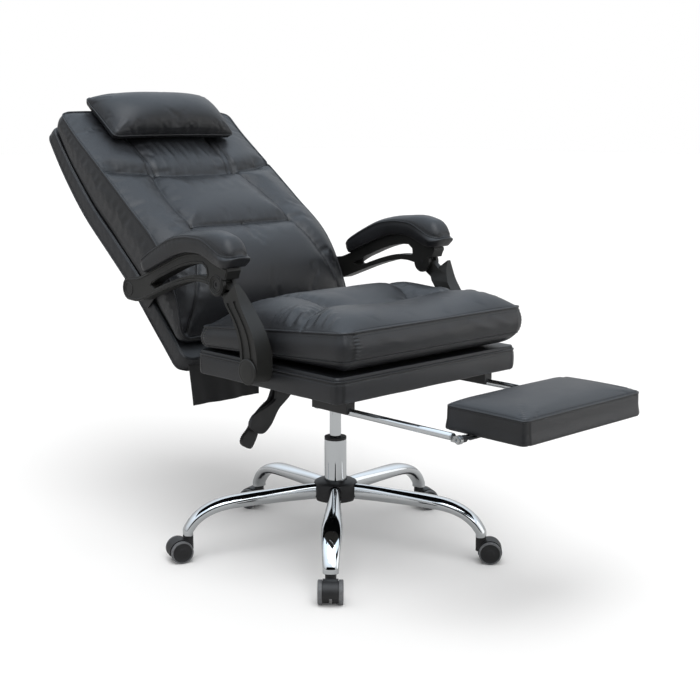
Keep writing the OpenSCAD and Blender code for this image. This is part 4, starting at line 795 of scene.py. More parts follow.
back = {"half": 256, "low": 62, "high": 753, "corner": 24, "lumbar": 132, "bulge": 88, "shell": 45, "shellTop": 32,
        "bottom": 20, "top": 757, "gap": 7, "gusset": 3, "nu": 57, "nv": 75, "welt": 2.2,
        "seamLine": [[0, 0.07], [0.1, 0.42], [0.29, 0.68], [0.5, 0.53], [0.7, 0.36], [0.88, 0.2], [1, 0.14]],
        "middleLine": [[0, 0.1], [0.05, 0.5], [0.1, 0.78], [0.22, 0.99], [0.32, 0.98], [0.44, 0.82],
                       [0.58, 0.62], [0.72, 0.46], [0.88, 0.27], [1, 0.16]],
        "rearLine": [[0, 0.68], [0.14, 0.68], [0.3, 0.7], [0.5, 0.86], [0.68, 1], [0.84, 0.95], [1, 0.72]],
        "filling": {"pressure": 5, "slack": 0.004, "cap": 8}}
# sewn lines of one half of the back, [across, up] from the hinge, then [width, depth] of the channel along each
yokeSeam = [[0, 502], [60, 504], [107, 510], [180, 522], [256, 540]]
ribSeam = [[126, 512], [140, 470], [150, 415], [154, 355], [150, 302]]
waistSeam = [[0, 300], [75, 301], [150, 302]]
hipSeam = [[150, 302], [166, 252], [184, 203], [204, 152], [224, 104], [242, 72]]
panelSeams = [[[111, 503], [117, 600], [128, 752]], [[125, 503], [132, 600], [142, 752]]]
channels = [(yokeSeam, [22, 17]), (ribSeam, [22, 14]), (waistSeam, [25, 18]), (hipSeam, [22, 15])]


# the back's rear side view at height z, and how thick the shell is there
def rearFace(z):
    b = back
    share = (z - b["bottom"]) / (b["top"] - b["bottom"])
    thick = b["shell"] + (b["shellTop"] - b["shell"]) * np.clip(2 * share - 1, 0, 1) ** 2
    return eased(b["rearLine"], share) * b["bulge"], thick


# depth = side view at the seams, eased out to the side view down the middle by the crown, less the channels
def makeBackCushion():
    s = back
    U, V = grid(s["nu"], s["nv"])

    def outline(draw, u=U, v=V):
        return rounded(u, v, s["half"] - draw, s["low"] + draw, s["high"] - draw, s["corner"] - draw)

    a, b = outline(0)
    across = np.abs(a)
    seamFace, middle = -eased(s["seamLine"], V) * s["lumbar"], -eased(s["middleLine"], V) * s["lumbar"]
    crown = swell(U, 5.5)
    edge = np.clip(6 * (1 - np.abs(U)), 0, 1) * np.clip(9 * (1 - V), 0, 1) * np.clip(5 * V, 0, 1)
    dip = np.zeros(U.shape)
    for line, (width, depth) in channels:
        dip = np.maximum(dip, depth * bell(offLine(across, b, line)[0], width))
    seams = [yokeSeam, ribSeam, waistSeam, hipSeam] + panelSeams
    sewnLine = nearest(across, b, seams)
    sink = 6 * np.clip((138 - across) / 20, 0, 1) * np.clip((b - 500) / 20, 0, 1) * np.clip((752 - b) / 60, 0, 1)
    panelDip = 3.5 * bell(nearest(across, b, panelSeams), 6)
    y = seamFace + (middle - seamFace) * crown + (dip + sink + panelDip) * edge
    front = np.stack([a, y, b], -1)

    def ring(draw, share):
        a2, b2 = outline(draw)
        rear, thick = rearFace(b2)
        return np.stack([a2, seamFace + (rear - thick - s["gap"] - seamFace) * share, b2], -1)

    rear = ring(12, 1.0)
    rings = np.stack([edgeOf(r) for r in (front, ring(-s["gusset"], 0.45), ring(2, 0.96), rear)])
    held = bell(sewnLine, 6) * np.clip(edge * 3, 0, 1)
    held[[0, -1], :] = held[:, [0, -1]] = 1

    # gathers of the neck panel, up from the yoke seam and down from the pillow, and slack pulls below the seams
    neckFolds = [[x, 506, x + tilt, 506 + reach, 5.0, height] for x, tilt, reach, height in (
        (-103, 5, 66, 1.6), (-90, 8, 44, 1.0), (-74, 3, 90, 1.3), (-55, 8, 50, 1.0), (-41, 0, 104, 1.5),
        (-20, 6, 58, 0.9), (-5, -5, 92, 1.4), (17, -4, 48, 1.0), (33, -9, 88, 1.5), (55, -4, 60, 1.0),
        (71, -11, 100, 1.6), (90, -5, 56, 1.0), (103, -10, 82, 1.7))]
    neckFolds += [[x, 640, x + tilt, 560, 7.0, height] for x, tilt, height in (
        (-96, 10, 1.8), (-70, 8, 1.6), (-48, 4, 1.9), (-20, -3, 1.6), (10, 4, 1.8), (38, -6, 1.6), (64, -4, 1.9),
        (90, -12, 1.7))]
    pulls = [[-88, 492, -66, 396, 12, 1.5], [-50, 494, -22, 410, 13, 1.4], [-12, 496, 12, 408, 12, 1.5],
             [28, 496, 46, 420, 12, 1.3], [70, 494, 76, 416, 12, 1.4], [104, 494, 112, 440, 9, 1.2],
             [-118, 490, -104, 430, 9, 1.2], [-210, 500, -186, 440, 13, 1.1], [206, 506, 190, 446, 13, 1.1],
             [-96, 286, -84, 246, 12, 1.0], [88, 286, 80, 240, 12, 1.0], [-30, 288, -26, 240, 14, 0.9],
             [30, 288, 34, 244, 13, 0.9]]

    def detail(a, b, run, deep):
        lift = foldsOn(a, b, neckFolds + pulls)
        mark = np.zeros(a.shape)
        for k, line in enumerate(mirrored([yokeSeam, ribSeam, waistSeam, hipSeam])):
            groove, dark = furrow(a, b, line, 3.6, 3.6, 0.3, 23, 15, k)
            lift, mark = lift + groove, np.maximum(mark, dark)
        for line in mirrored(panelSeams):
            groove, dark = furrow(a, b, line, 2.2, 2.6)
            lift, mark = lift + groove, np.maximum(mark, dark)
        wave = 0.6 * np.sin(run / 41) * np.sin(run / 67 + 2)
        rim = bell((deep - 2) * 30, 5)
        # the seam furrows and one line along the side sheet are marked for painted shade
        return (lift, wave - 1.2 * rim), (mark, rim)

    pad = upholster(onBack(front), onBack(rings), onBack(rear), 6, 3, s["filling"], held, [1, 0.15, 0.9, 1],
                    np.stack([a, b], -1), detail)
    cushion = piece("backCushion", pad["points"], pad["faces"], leather, "back", "leather", "back_cushion",
                    marks=pad["marks"])
    us, vs = through(U[0], 3), through(V[:, 0], 3)
    piece("backWelt", *welt(edgeOf(pad["front"]), frontwards, s["welt"]), leather, "back", "leather")
    sewFront("back", pad)
    sewRing("back", pad, 2)
    share = lambda a, b: (a / s["half"], (b - s["low"]) / (s["high"] - s["low"]))
    edges = seamEdges(pad, us, vs, share, mirrored([ribSeam, hipSeam, yokeSeam, waistSeam] + panelSeams), 2.1)
    # these cords take the painted seam shade all over
    piece("backSeamEdges", *edges, leather, "back", "leather", marks=np.ones(len(edges[0])))
    report("back cushion is stuffed")


makeBackCushion()

shell = {"nu": 49, "nv": 65, "hem": 26, "welt": 2.0, "filling": {"pressure": 3, "slack": 0.004, "cap": 4}}


# the back's rear side view, less a share of the shell's thickness at each ring
def makeBackShell():
    s = back
    U, V = grid(shell["nu"], shell["nv"])

    def level(draw, share):
        a, b = rounded(U, V, s["half"] - draw, s["bottom"] + draw, s["top"] - draw, max(s["corner"] - draw, 4))
        rear, thick = rearFace(b)
        return np.stack([-a, rear - thick * share, b], -1)

    front = level(4, 0.0)
    rear = level(4, 1.0)
    rings = np.stack([edgeOf(r) for r in (front, level(-1.5, 0.13), level(-1, 0.86), rear)])

    def detail(a, b, run, deep):
        hem = np.abs(np.abs(a) - s["half"] + shell["hem"])
        slack = 0.5 * np.sin(a / 70) * np.sin(b / 90 + 1)
        # the hem line is marked for painted shade
        return (slack - 1.2 * bell(hem, 2.6), 0.5 * np.sin(run / 45)), (bell(hem, 1.6), np.zeros(run.shape))

    held = np.ones(U.shape) * 0.3
    held[[0, -1], :] = held[:, [0, -1]] = 1
    plan = np.stack([-U * s["half"], V * (s["top"] - s["bottom"]) + s["bottom"]], -1)
    pad = upholster(onBack(front), onBack(rings), onBack(rear), 4, 3, shell["filling"], held, [1, 0.7, 0.6, 1], plan,
                    detail)
    cover = piece("backShell", pad["points"], pad["faces"], leather, "back", "leather", "back_shell",
                  marks=pad["marks"])
    row = pad["ring"](1)
    piece("shellWelt", *welt(pad["sides"][row], backwards, shell["welt"]), leather, "back", "leather")
    sewRing("back", pad, row + 3)
    report("rear shell is covered")


makeBackShell()

pillow = {"half": 181, "low": 627, "high": 778, "corner": 10, "thick": 77, "nu": 49, "nv": 25, "welt": 2.0,
          "filling": {"pressure": 6, "slack": 0.005, "cap": 7}}


# thickness = a share at the seam + a dome: one rounded power across times another along
def makeHeadPillow():
    s, b = pillow, back
    U, V = grid(s["nu"], s["nv"])

    def level(draw, share):
        x, z = rounded(U, V, s["half"] - draw, s["low"] + draw, s["high"] - draw, max(s["corner"] - draw, 3))
        # the corners stand out and the sides pull in between them
        pull = 5 * (1 - np.abs(U) ** 2) * np.abs(2 * V - 1) ** 8
        x = x * (1 - 0.016 * (1 - (2 * V - 1) ** 2) * np.abs(U) ** 6)
        z = z + np.where(V > 0.5, -1, 1) * pull * (0.6 if draw < 8 else 0)
        v = np.clip((z - b["low"]) / (b["high"] - b["low"]), 0, 1)
        rest = -eased(b["middleLine"], v) * b["lumbar"] - 2.5
        return np.stack([x, rest - s["thick"] * share, z], -1)

    front = level(0, 0.24 + 0.84 * swell(U, 3.4) ** 0.6 * swell(2 * V - 1, 2.2) ** 0.55)
    rear = level(14, 0.0)
    rings = np.stack([edgeOf(r) for r in (front, level(1, 0.15), level(6, 0.05), rear)])
    held = np.zeros(U.shape)
    held[[0, -1], :] = held[:, [0, -1]] = 1
    folds = [[side * 181, z, side * (181 - reach), z2, 5.5, height] for side in (-1, 1) for z, reach, z2, height in (
        (632, 40, 652, 2.0), (640, 30, 664, 1.4), (766, 42, 744, 2.0), (758, 30, 736, 1.4), (628, 56, 640, 1.4),
        (770, 60, 756, 1.4))]
    folds += [[x, 626, x + tilt, 650, 6, 1.0] for x, tilt in ((-130, 4), (-96, -3), (-58, 3), (-20, -2), (22, 3),
                                                              (60, -3), (100, 4), (134, -4))]

    def detail(a, b, run, deep):
        wave = 0.5 * np.sin(run / 17) * np.sin(run / 29)
        return (foldsOn(a, b, folds), wave), (np.zeros(a.shape), np.zeros(run.shape))

    plan = np.stack([U * s["half"], s["low"] + V * (s["high"] - s["low"])], -1)
    pad = upholster(onBack(front), onBack(rings), onBack(rear), 3, 3, s["filling"], held, [1, 0, 0.8, 1], plan,
                    detail)
    cushion = piece("headPillow", pad["points"], pad["faces"], leather, "back", "leather", "head_pillow",
                    marks=pad["marks"])
    piece("pillowWelt", *welt(edgeOf(pad["front"]), frontwards, s["welt"], 4), leather, "back", "leather")
    sewFront("back", pad)
    report("head pillow is stuffed")


makeHeadPillow()

foot = {"half": 179, "rear": -493, "front": -682, "crown": 18, "corner": 11, "welt": 1.6, "nu": 45, "nv": 27,
        "filling": {"pressure": 4, "slack": 0.0, "cap": 4}}


# height = seam line + a roll that rises steeply at the edge + a low dome
def makeFootrest():
    s = foot
    underside, top = (corner[2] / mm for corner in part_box("footrest_pad"))
    seamLine = top - s["crown"]
    U, V = grid(s["nu"], s["nv"])

    def level(draw, height):
        a, b = rounded(U, V, s["half"] - draw, s["front"] + draw, s["rear"] - draw, max(s["corner"] - draw, 3))
        return np.stack([a, b, np.broadcast_to(height, a.shape)], -1)

    roll, dome = (swell(U, 13) * swell(2 * V - 1, 7)) ** 0.5, swell(U, 2.2) * swell(2 * V - 1, 2)
    front = level(0, seamLine + s["crown"] * (0.58 * roll + 0.42 * dome))
    rear = level(5, underside + 1)
    rings = np.stack([edgeOf(r) for r in (front, level(-1, seamLine - 6), level(-1.5, (underside + seamLine) / 2),
                                          level(-3.5, underside + 5), rear)])
    held = np.zeros(U.shape)
    held[[0, -1], :] = held[:, [0, -1]] = 1

    def detail(a, b, run, deep):
        near = toCorners(run, 2 * s["half"], s["rear"] - s["front"])
        slack = 0.4 * np.sin(a / 40) * np.sin(b / 33)
        # the upright corner seams are marked for painted shade
        return (slack, -1.4 * bell(near, 2.6)), (np.zeros(a.shape), bell(near, 1.8))

    plan = np.stack([U * s["half"], V * (s["rear"] - s["front"]) + s["front"]], -1)
    pad = upholster(front, rings, rear, 3, 3, s["filling"], held, [1, 0.7, 0.3, 0.7, 1], plan, detail)
    cushion = piece("footrestPad", pad["points"], pad["faces"], leather, "footrest_pad", "leather", "footrest_pad",
                    marks=pad["marks"])
    piece("footrestWelt", *welt(edgeOf(pad["front"]), upright, s["welt"], 4), leather, "footrest_pad", "leather")
    sewFront("footrest_pad", pad)
    sewRing("footrest_pad", pad, 4)
    report("footrest pad is stuffed")


makeFootrest()

# rigid pieces

slotOf = {s["node"]: s["material_slot"] for s in frame["record"]["subparts"]}
bodyOf = {n: body for body, nodes in frame["record"]["behaviour"]["bodies"].items() for n in nodes}


# a copy of a rigid CAD piece: its triangles merged, its flat faces rejoined, and every sharp edge broken
def edged(node, finish, width, sharp=32, segments=2):
    b = bmesh.new()
    b.from_mesh(frame["nodes"][node].data)
    bmesh.ops.remove_doubles(b, verts=b.verts, dist=0.004 * mm)
    bmesh.ops.dissolve_limit(b, angle_limit=radians(0.5), verts=b.verts, edges=b.edges)
    mesh = bpy.data.meshes.new(node + "Edged")
    b.to_mesh(mesh)
    b.free()
    mesh.polygons.foreach_set("use_smooth", [True] * len(mesh.polygons))
    mesh.set_sharp_from_angle(angle=radians(sharp))
    mesh.materials.clear()
    mesh.materials.append(finish)
    obj = bpy.data.objects.new(node + "Edged", mesh)
    scene.collection.objects.link(obj)
    edge = obj.modifiers.new("brokenEdges", "BEVEL")
    edge.width, edge.segments = width * mm, segments
    edge.limit_method, edge.angle_limit = "ANGLE", radians(sharp)
    edge.harden_normals = True
    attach(obj, bodyOf[node])
    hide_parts(node)
    return obj


def mirrorX(points):
    return np.asarray(points, float) * [-1, 1, 1]


def arcOf(centre, r, start, end, count):
    f = np.radians(np.linspace(start, end, count))
    return np.asarray(centre, float) + r * np.stack([np.cos(f), np.sin(f)], 1)


# a closed line in the Y and Z plane moved inwards by d: each point goes along the mean of its two edges' normals
def inset(line, d):
    run = np.roll(line, -1, 0) - np.roll(line, 1, 0)
    run /= np.maximum(np.linalg.norm(run, axis=1, keepdims=True), 1e-6)
    area = np.sum(line[:, 0] * np.roll(line[:, 1], -1) - np.roll(line[:, 0], -1) * line[:, 1])
    side = np.stack([-run[:, 1], run[:, 0]], 1) * np.sign(area)
    return line + d * side


# where the three pivots lie as [y, z], and the frame's lines as shares of its span and rise from the front pivot
arm = {"out": 324, "thick": 34, "span": 316, "rise": 61, "front": np.array([10, 630.0]),
       "rear": np.array([326, 592.0]), "low": np.array([-91, 463.0]), "boss": 24, "barrel": 25,
       "edge": 2.0, "ridge": 2.0, "ridgeIn": 4.4}
rail = [[0.886, -0.148], [0.797, 0.016], [0.696, 0.23], [0.544, 0.541], [0.396, 0.836], [0.269, 0.984], [0.152, 1],
        [0.06, 0.902], [-0.019, 0.738], [-0.085, 0.63], [-0.125, 0.6]]
under = [[-0.13, 0.5], [-0.115, 0.36], [-0.105, 0.22]]
strut = [[0.08, -0.04], [0.158, 0.016], [0.269, -0.016], [0.405, -0.18], [0.551, -0.41], [0.734, -0.754],
         [0.877, -1.016], [0.943, -1.049]]
slotTop = [[0.737, -0.344], [0.649, -0.098], [0.547, 0.115], [0.443, 0.328], [0.342, 0.492], [0.237, 0.607],
           [0.139, 0.639]]
slotLow = [[0.1, 0.5], [0.097, 0.26], [0.149, 0.23], [0.269, 0.197], [0.402, 0.033], [0.551, -0.213], [0.68, -0.459]]


def armLine(shares, count):
    return through(shares, count) * [arm["span"], arm["rise"]] + arm["front"]


# the CAD frame with broken edges, and moulded ridges inside its outline, round its slot and round its pivots
def makeArmFrame(side, turn):
    s = arm
    node = "arm_frame_" + side
    onFace = lambda line: np.stack([np.full(len(line), s["out"] + 0.1), line[:, 0], line[:, 1]], 1)
    outwards = np.array([[1.0, 0, 0]])
    edged(node, armNylon, s["edge"], 30, 3)
    edged("arm_pin_" + side, coat, 0.6)
    outline = np.vstack([arcOf(s["rear"], s["barrel"], -85, 90, 24), armLine(rail, 4), armLine(under, 3),
                         arcOf(s["front"], s["boss"], 150, 365, 30), armLine(strut, 4)])
    slot = np.vstack([armLine(slotTop, 4), armLine(slotLow, 4)])
    parts = []
    for line in (evenly(inset(outline, s["ridgeIn"]), 4, True), evenly(inset(slot, -s["ridgeIn"] + 0.6), 4, True)):
        parts.append(cordAlong(onFace(line), outwards, s["ridge"], 8, True, 0.7))
    for r, centre in ((15.5, s["front"]), (19.5, s["front"]), (14, s["rear"])):
        parts.append(cordAlong(onFace(arcOf(centre, r, 0, 360, 49)[:-1]), outwards, 1.5, 8, True, 0.8))
    points, faces = joined(parts)
    piece("armRidges_" + side, turn(points), faces, armNylon, bodyOf[node], "black_plastic")


armPad = {"half": 33, "corner": 26, "tuck": 5, "bulge": 1.6, "nu": 25, "nv": 61, "start": 13, "stop": 11, "nose": 6.5,
          "band": [[0, 0.4], [0.06, 0.42], [0.15, 0.5], [0.3, 0.66], [0.45, 0.74], [0.7, 0.8], [1, 0.7]],
          "filling": {"pressure": 4, "slack": 0.0, "cap": 3}}
# side view of the pad, front tip to rear, as shares of the frame's span and rise: its underside, then its top
padUnder = [[-0.228, 1.06], [-0.216, 0.9], [-0.19, 0.74], [-0.15, 0.64], [-0.1, 0.62], [-0.04, 0.7], [0.02, 0.82],
            [0.09, 0.95], [0.152, 1], [0.269, 0.984], [0.396, 0.836], [0.544, 0.541], [0.696, 0.23], [0.76, 0.1],
            [0.8, 0.01], [0.812, -0.015]]
padOver = [[-0.228, 1.1], [-0.222, 1.28], [-0.2, 1.42], [-0.165, 1.53], [-0.115, 1.64], [-0.06, 1.72], [0, 1.78],
           [0.07, 1.8], [0.15, 1.77], [0.29, 1.7], [0.437, 1.528], [0.5925, 1.186], [0.741, 0.814], [0.798, 0.58],
           [0.824, 0.31], [0.82, 0.086]]


# a crowned top sewn along its edge to a side band: [across, along, share of the height] to [x, y, z]
def makeArmPad(side, turn):
    s = armPad
    under, over = (through(np.asarray(l) * [arm["span"], arm["rise"]] + arm["front"], 12)
                   for l in (padUnder, padOver))
    gone = np.concatenate([[0], np.cumsum(np.linalg.norm(np.diff((under + over) / 2, axis=0), axis=1))])
    length = gone[-1]

    def onRail(p):
        at = np.clip(p[..., 1], 0, length)
        beyond = (p[..., 1] - at)[..., None] * [1, 0]
        low = np.stack([np.interp(at, gone, under[:, 0]), np.interp(at, gone, under[:, 1])], -1)
        high = np.stack([np.interp(at, gone, over[:, 0]), np.interp(at, gone, over[:, 1])], -1)
        yz = low + (high - low) * p[..., 2:] + beyond
        return turn(np.concatenate([arm["out"] - arm["thick"] / 2 + p[..., :1], yz], -1))

    U, V = grid(s["nu"], s["nv"])

    def level(draw, height):
        a, b = rounded(U, V, s["half"] - draw, s["start"] + draw, length - s["stop"] - draw, s["corner"] - draw)
        return np.stack([a, b, np.broadcast_to(height, a.shape)], -1)

    band = eased(s["band"], V)
    ends = (swell(np.clip(1 - V * length / 34, 0, 1), 2) * swell(np.clip(1 - (1 - V) * length / 30, 0, 1), 2)) ** 0.5
    front = level(0, band + (1 - band) * swell(U, 2.8) ** 0.62 * ends)
    nose = s["nose"] * bell(V * length, 34)
    rear = level(s["tuck"], 0.0)
    rings = np.stack([edgeOf(r) for r in (front, level(-s["bulge"] - nose, band * 0.6),
                                          level(0.5, band * 0.1), rear)])
    held = np.ones(U.shape) * 0.4
    held[[0, -1], :] = held[:, [0, -1]] = 1

    # short gathers hang from the seam over the crest and round the front
    def detail(a, b, run, deep):
        wave = np.sin(2 * pi * run / 15 + 1.9 * np.sin(run / 21)) * (0.5 + 0.5 * np.sin(run / 31))
        skirt = np.exp(-2.2 * deep) * np.clip(8 * deep, 0, 1)
        return (0.3 * np.sin(a / 17) * np.sin(b / 23), 0.55 * wave * skirt), (np.zeros(a.shape), np.zeros(run.shape))

    pad = upholster(onRail(front), onRail(rings), onRail(rear), 5, 2, s["filling"], held, [1, 0.4, 0.9, 1],
                    level(0, 0.0)[..., :2], detail)
    body = bodyOf["arm_pad_" + side]
    cushion = piece("armPad_" + side, pad["points"], pad["faces"], leather, body, "leather", "arm_pad_" + side,
                    marks=pad["marks"])
    piece("armPadWelt_" + side, *welt(edgeOf(pad["front"]), (0.3, 0, 0.95), 1.3, 4), leather, body, "leather")
    sewFront(body, pad)


# cap over the low pivot, [radius, height]: a low dome with a shallow ring
capProfile = [[26.6, 0.2], [27, 1], [27, 2.2], [26.4, 3.3], [24.6, 4.1], [22.6, 4.3], [21.6, 3.9], [20.6, 4.3],
              [15, 4.8], [8, 5.0], [0.4, 5.05]]
for side, turn in (("l", lambda p: np.asarray(p, float)), ("r", mirrorX)):
    makeArmFrame(side, turn)
    makeArmPad(side, turn)
    edged("arm_support_" + side, armNylon, 1.4, 28, 3)
    points, faces = lathe(capProfile, 72)
    points = np.stack([points[:, 2] + arm["out"] + 0.2, points[:, 0] + arm["low"][0],
                       points[:, 1] + arm["low"][1]], 1)
    piece("supportCap_" + side, turn(points), faces, armNylon, bodyOf["support_cap_" + side], "black_plastic",
          "support_cap_" + side)
report("armrests are assembled")

lever = {"x": -76, "z": 400.7, "length": 150, "drop": 143, "thick": 9, "grip": 1.7}
# for each lever its y, and the lower edge of its paddle as shares of the length and the drop
grips = {"height_lever": (28, [[-0.985, 0.6], [-0.95, 0.49], [-0.84, 0.425], [-0.66, 0.35], [-0.55, 0.295]]),
         "recline_lever": (46, [[-1.06, 0.82], [-1.02, 0.765], [-0.93, 0.68], [-0.84, 0.53], [-0.72, 0.42],
                                [-0.62, 0.345]])}
for node, (y, edgeShares) in grips.items():
    s = lever
    edged(node, nylon, 2.6, 30, 3)
    line = evenly(through(edgeShares, 8) * [s["length"], -s["drop"]], 4.6)
    ribs = []
    for px, pz in line:
        ends = np.array([[s["x"] + px, y - s["thick"] / 2 + 1.2, s["z"] + pz],
                         [s["x"] + px, y + s["thick"] / 2 - 1.2, s["z"] + pz]])
        ribs.append(cordAlong(np.linspace(ends[0], ends[1], 5), np.array([[0, 0, 1.0]]), s["grip"], 10))
    piece(node + "Grip", *joined(ribs), nylon, node, "black_plastic")

leg = {"reach": 341, "z": 132, "end": 57, "width": 43, "height": 36, "sides": 44, "steps": 7}
# along the leg: share of the reach, share of the drop, share of the width, share of the height
legShares = [[0.07, 1, 0.56, 1], [0.237, 0.993, 0.63, 0.96], [0.414, 0.965, 0.75, 0.89], [0.592, 0.93, 0.91, 0.83],
             [0.725, 0.885, 1, 0.78], [0.814, 0.8, 1, 0.72], [0.888, 0.655, 0.94, 0.67], [0.947, 0.455, 0.86, 0.64],
             [0.982, 0.265, 0.8, 0.62], [1, 0.12, 0.77, 0.61], [1, 0, 0.77, 0.61]]


def legAngle(k):
    return radians(-90 - 44.65 + 72 * (k - 1))


# superellipse sections square to the leg's middle line
def makeLegs():
    s = leg
    shares = through(legShares, s["steps"])
    line = np.stack([shares[:, 0] * s["reach"], s["end"] + shares[:, 1] * (s["z"] - s["end"])], 1)
    line[-s["steps"]:, 1] = np.linspace(line[-s["steps"] - 1, 1], s["end"], s["steps"] + 1)[1:]
    line[-s["steps"]:, 0] = s["reach"]
    run = np.gradient(line, axis=0)
    run /= np.linalg.norm(run, axis=1, keepdims=True)
    half = shares[:, 2:] * [s["width"] / 2, s["height"] / 2]
    # the cut end is rolled in over the stem's sleeve
    half = np.vstack([half, half[-1] - 0.7, half[-1] - 2.2, half[-1] - 3.4])
    line = np.vstack([line[:-1], line[-1] + [0, 1.2], line[-1] + [0, 0.3], line[-1], line[-1] + [0, 1.5]])
    run = np.vstack([run, run[-1:], run[-1:], run[-1:]])
    f = 2 * pi * np.arange(s["sides"]) / s["sides"]
    c, e = np.cos(f), np.sin(f)
    ca, sb = (np.sign(v) * np.abs(v) ** 0.8 * half[:, k:k + 1] for k, v in enumerate((c, e)))
    rings = np.stack([line[:, :1] - run[:, 1:] * sb, ca, line[:, 1:] + run[:, :1] * sb], -1)
    points, faces = skin(rings)
    for k in range(1, 6):
        f = legAngle(k)
        x, y, z = points.T
        turned = np.stack([x * cos(f) - y * sin(f), x * sin(f) + y * cos(f), z], 1)
        piece("leg_%d" % k, turned, faces, chrome, "base", "chrome", "base_arm_%d" % k, sharp=60)


makeLegs()

caster = {"reach": 341, "trail": 20, "r": 25, "yaw": [226, 312, 336, 108, 160]}
# [radius, distance from the caster's middle] round each half wheel
treadProfile = [[21.6, 16.9], [24.4, 16.9], [25, 18.2], [25, 24.4], [24.6, 25.4], [23.7, 26.0], [22.4, 26.15],
                [21.6, 25.9]]
discProfile = [[3.05, 3.1], [22.4, 3.1], [22.4, 16.6], [21.6, 16.9], [21.5, 25.3], [20.7, 25.9], [19.4, 25.7],
               [18.4, 24.9], [9.5, 24.9], [8.6, 25.6], [7.6, 26.0], [4, 26.1], [0.3, 26.1], [0.3, 22.2], [3.05, 22.2]]


# both profiles turned about the axle, then turned with the caster and carried out to the end of its leg
def makeWheels():
    s = caster
    for k in range(1, 6):
        leg, yaw = legAngle(k), radians(s["yaw"][k - 1])
        for mark, side in (("a", 1), ("b", -1)):
            node = "caster_wheel_%d%s" % (k, mark)
            for name, profile, finish, stands in (("Tread", treadProfile, tyre, ()),
                                                  ("Disc", discProfile, nylon, node)):
                points, faces = lathe(profile, 72, True)
                x, y, z = points[:, 0] + s["trail"], -side * points[:, 2], side * points[:, 1] + s["r"]
                turned = np.stack([s["reach"] * cos(leg) + x * cos(yaw) - y * sin(yaw),
                                   s["reach"] * sin(leg) + x * sin(yaw) + y * cos(yaw), z], 1)
                piece("wheel%s_%d%s" % (name, k, mark), turned, faces, finish, bodyOf[node], "wheel_plastic", stands,
                      sharp=40)
        edged("caster_hood_%d" % k, nylon, 0.9)


makeWheels()
for node, finish, width in (
        ("hub_cover", nylon, 1.0), ("column_tube", chrome, 0.6), ("column_collar", nylon, 1.0),
        ("gas_cylinder", chrome, 0.5), ("base_hub", zinc, 0.8), ("mechanism_plate", coat, 0.8),
        ("mechanism_socket", coat, 0.8), ("footrest_guides", coat, 1.0), ("support_brackets", zinc, 0.6),
        ("recline_pin", zinc, 0.8), ("armrest_studs", coat, 1.0), ("back_bar", coat, 0.9),
        ("footrest_bar", coat, 0.8), ("footrest_knuckles", zinc, 0.7), ("footrest_rods", chrome, 0.4),
        ("seat_screws", zinc, 0.5)):
    edged(node, finish, width)
report("base, column and mechanism are finished")

flap = {"inner": 35.5, "top": 238, "hem": 226, "high": 95, "thick": 1.6, "out": 34, "under": 19.7, "fold": 3.2,
        "hemHigh": 9, "nu": 61, "nv": 25}


# two panels of cloth: each hangs straight down from its upper hem, its folds growing deeper towards the lower one
def makeFlap(side, turn):
    s = flap
    U, V = np.meshgrid(np.linspace(0, 1, s["nu"]), np.linspace(0, 1, s["nv"]))
    half = s["top"] + (s["hem"] - s["top"]) * V
    x = s["inner"] + (half - s["inner"]) * U
    lift = s["fold"] * V ** 0.7 * (np.sin(3 * pi * U) + 0.35 * np.sin(8.2 * pi * U + 2 * V + side))
    y = hinge[1] + s["out"] * cos(lean) + s["under"] * sin(lean) + lift - 0.8
    z = hinge[2] - s["out"] * sin(lean) + s["under"] * cos(lean) - s["high"] * V
    mid = np.stack([x, y, z], -1)
    index = np.arange(mid[..., 0].size).reshape(mid.shape[:2])
    n = normalsOf(mid.reshape(-1, 3), quads(index)).reshape(mid.shape)
    fromHem = np.minimum(V, 1 - V) * s["high"]
    hem = 0.5 * np.clip(1 - fromHem / s["hemHigh"], 0, 1) ** 0.2 * (fromHem < s["hemHigh"])    # cloth folded double
    half = n * (s["thick"] / 2 + hem)[..., None]
    points, faces = padMesh(mid + half, mid[:0].reshape(0, 2 * (s["nu"] + s["nv"]) - 4, 3), mid - half)
    name = "flapPanel_" + ("l" if side > 0 else "r")
    # the two panels stand for one CAD piece, which each names
    panel = piece(name, turn(points), faces, flapCloth, "back", "lining_fabric", "rear_flap", sharp=50)


makeFlap(1, lambda p: np.asarray(p, float))
makeFlap(-1, mirrorX)

# what is left of the CAD keeps its shape and gets its material
slots = {"leather": leather, "lining_fabric": flapCloth, "chrome": chrome, "bright_steel": zinc, "black_steel": coat,
         "black_plastic": nylon, "wheel_plastic": nylon, "plywood": plywood}
for node, obj in frame["nodes"].items():
    obj.data.materials.clear()
    obj.data.materials.append(slots[slotOf[node]])
report("the rest is painted")


def sewThreads():
    for body, rows in threads.items():
        piece(body + "Stitches", *joined(rows), seamThread, body, "leather")
    report("seams are stitched")


# stage, light and camera
studio = {"floor": "#fbfbfb", "floorInGloss": "#c4c4c4", "skyInGloss": "#d2e4f6", "skyLow": 0.36, "skyHigh": 2.0,
          "skyOnObject": 0.7,
          # each lamp's direction, angle and strength
          "lamps": {"overhead": ((0.25, 0.35, -1), 46, 1.35), "window": ((0.35, 0.95, -0.8), 30, 0.35)}}
view = {"lens": 64.3, "from": (-1.876, -2.016, 0.960), "at": (0.0239, -0.0228, 0.455)}


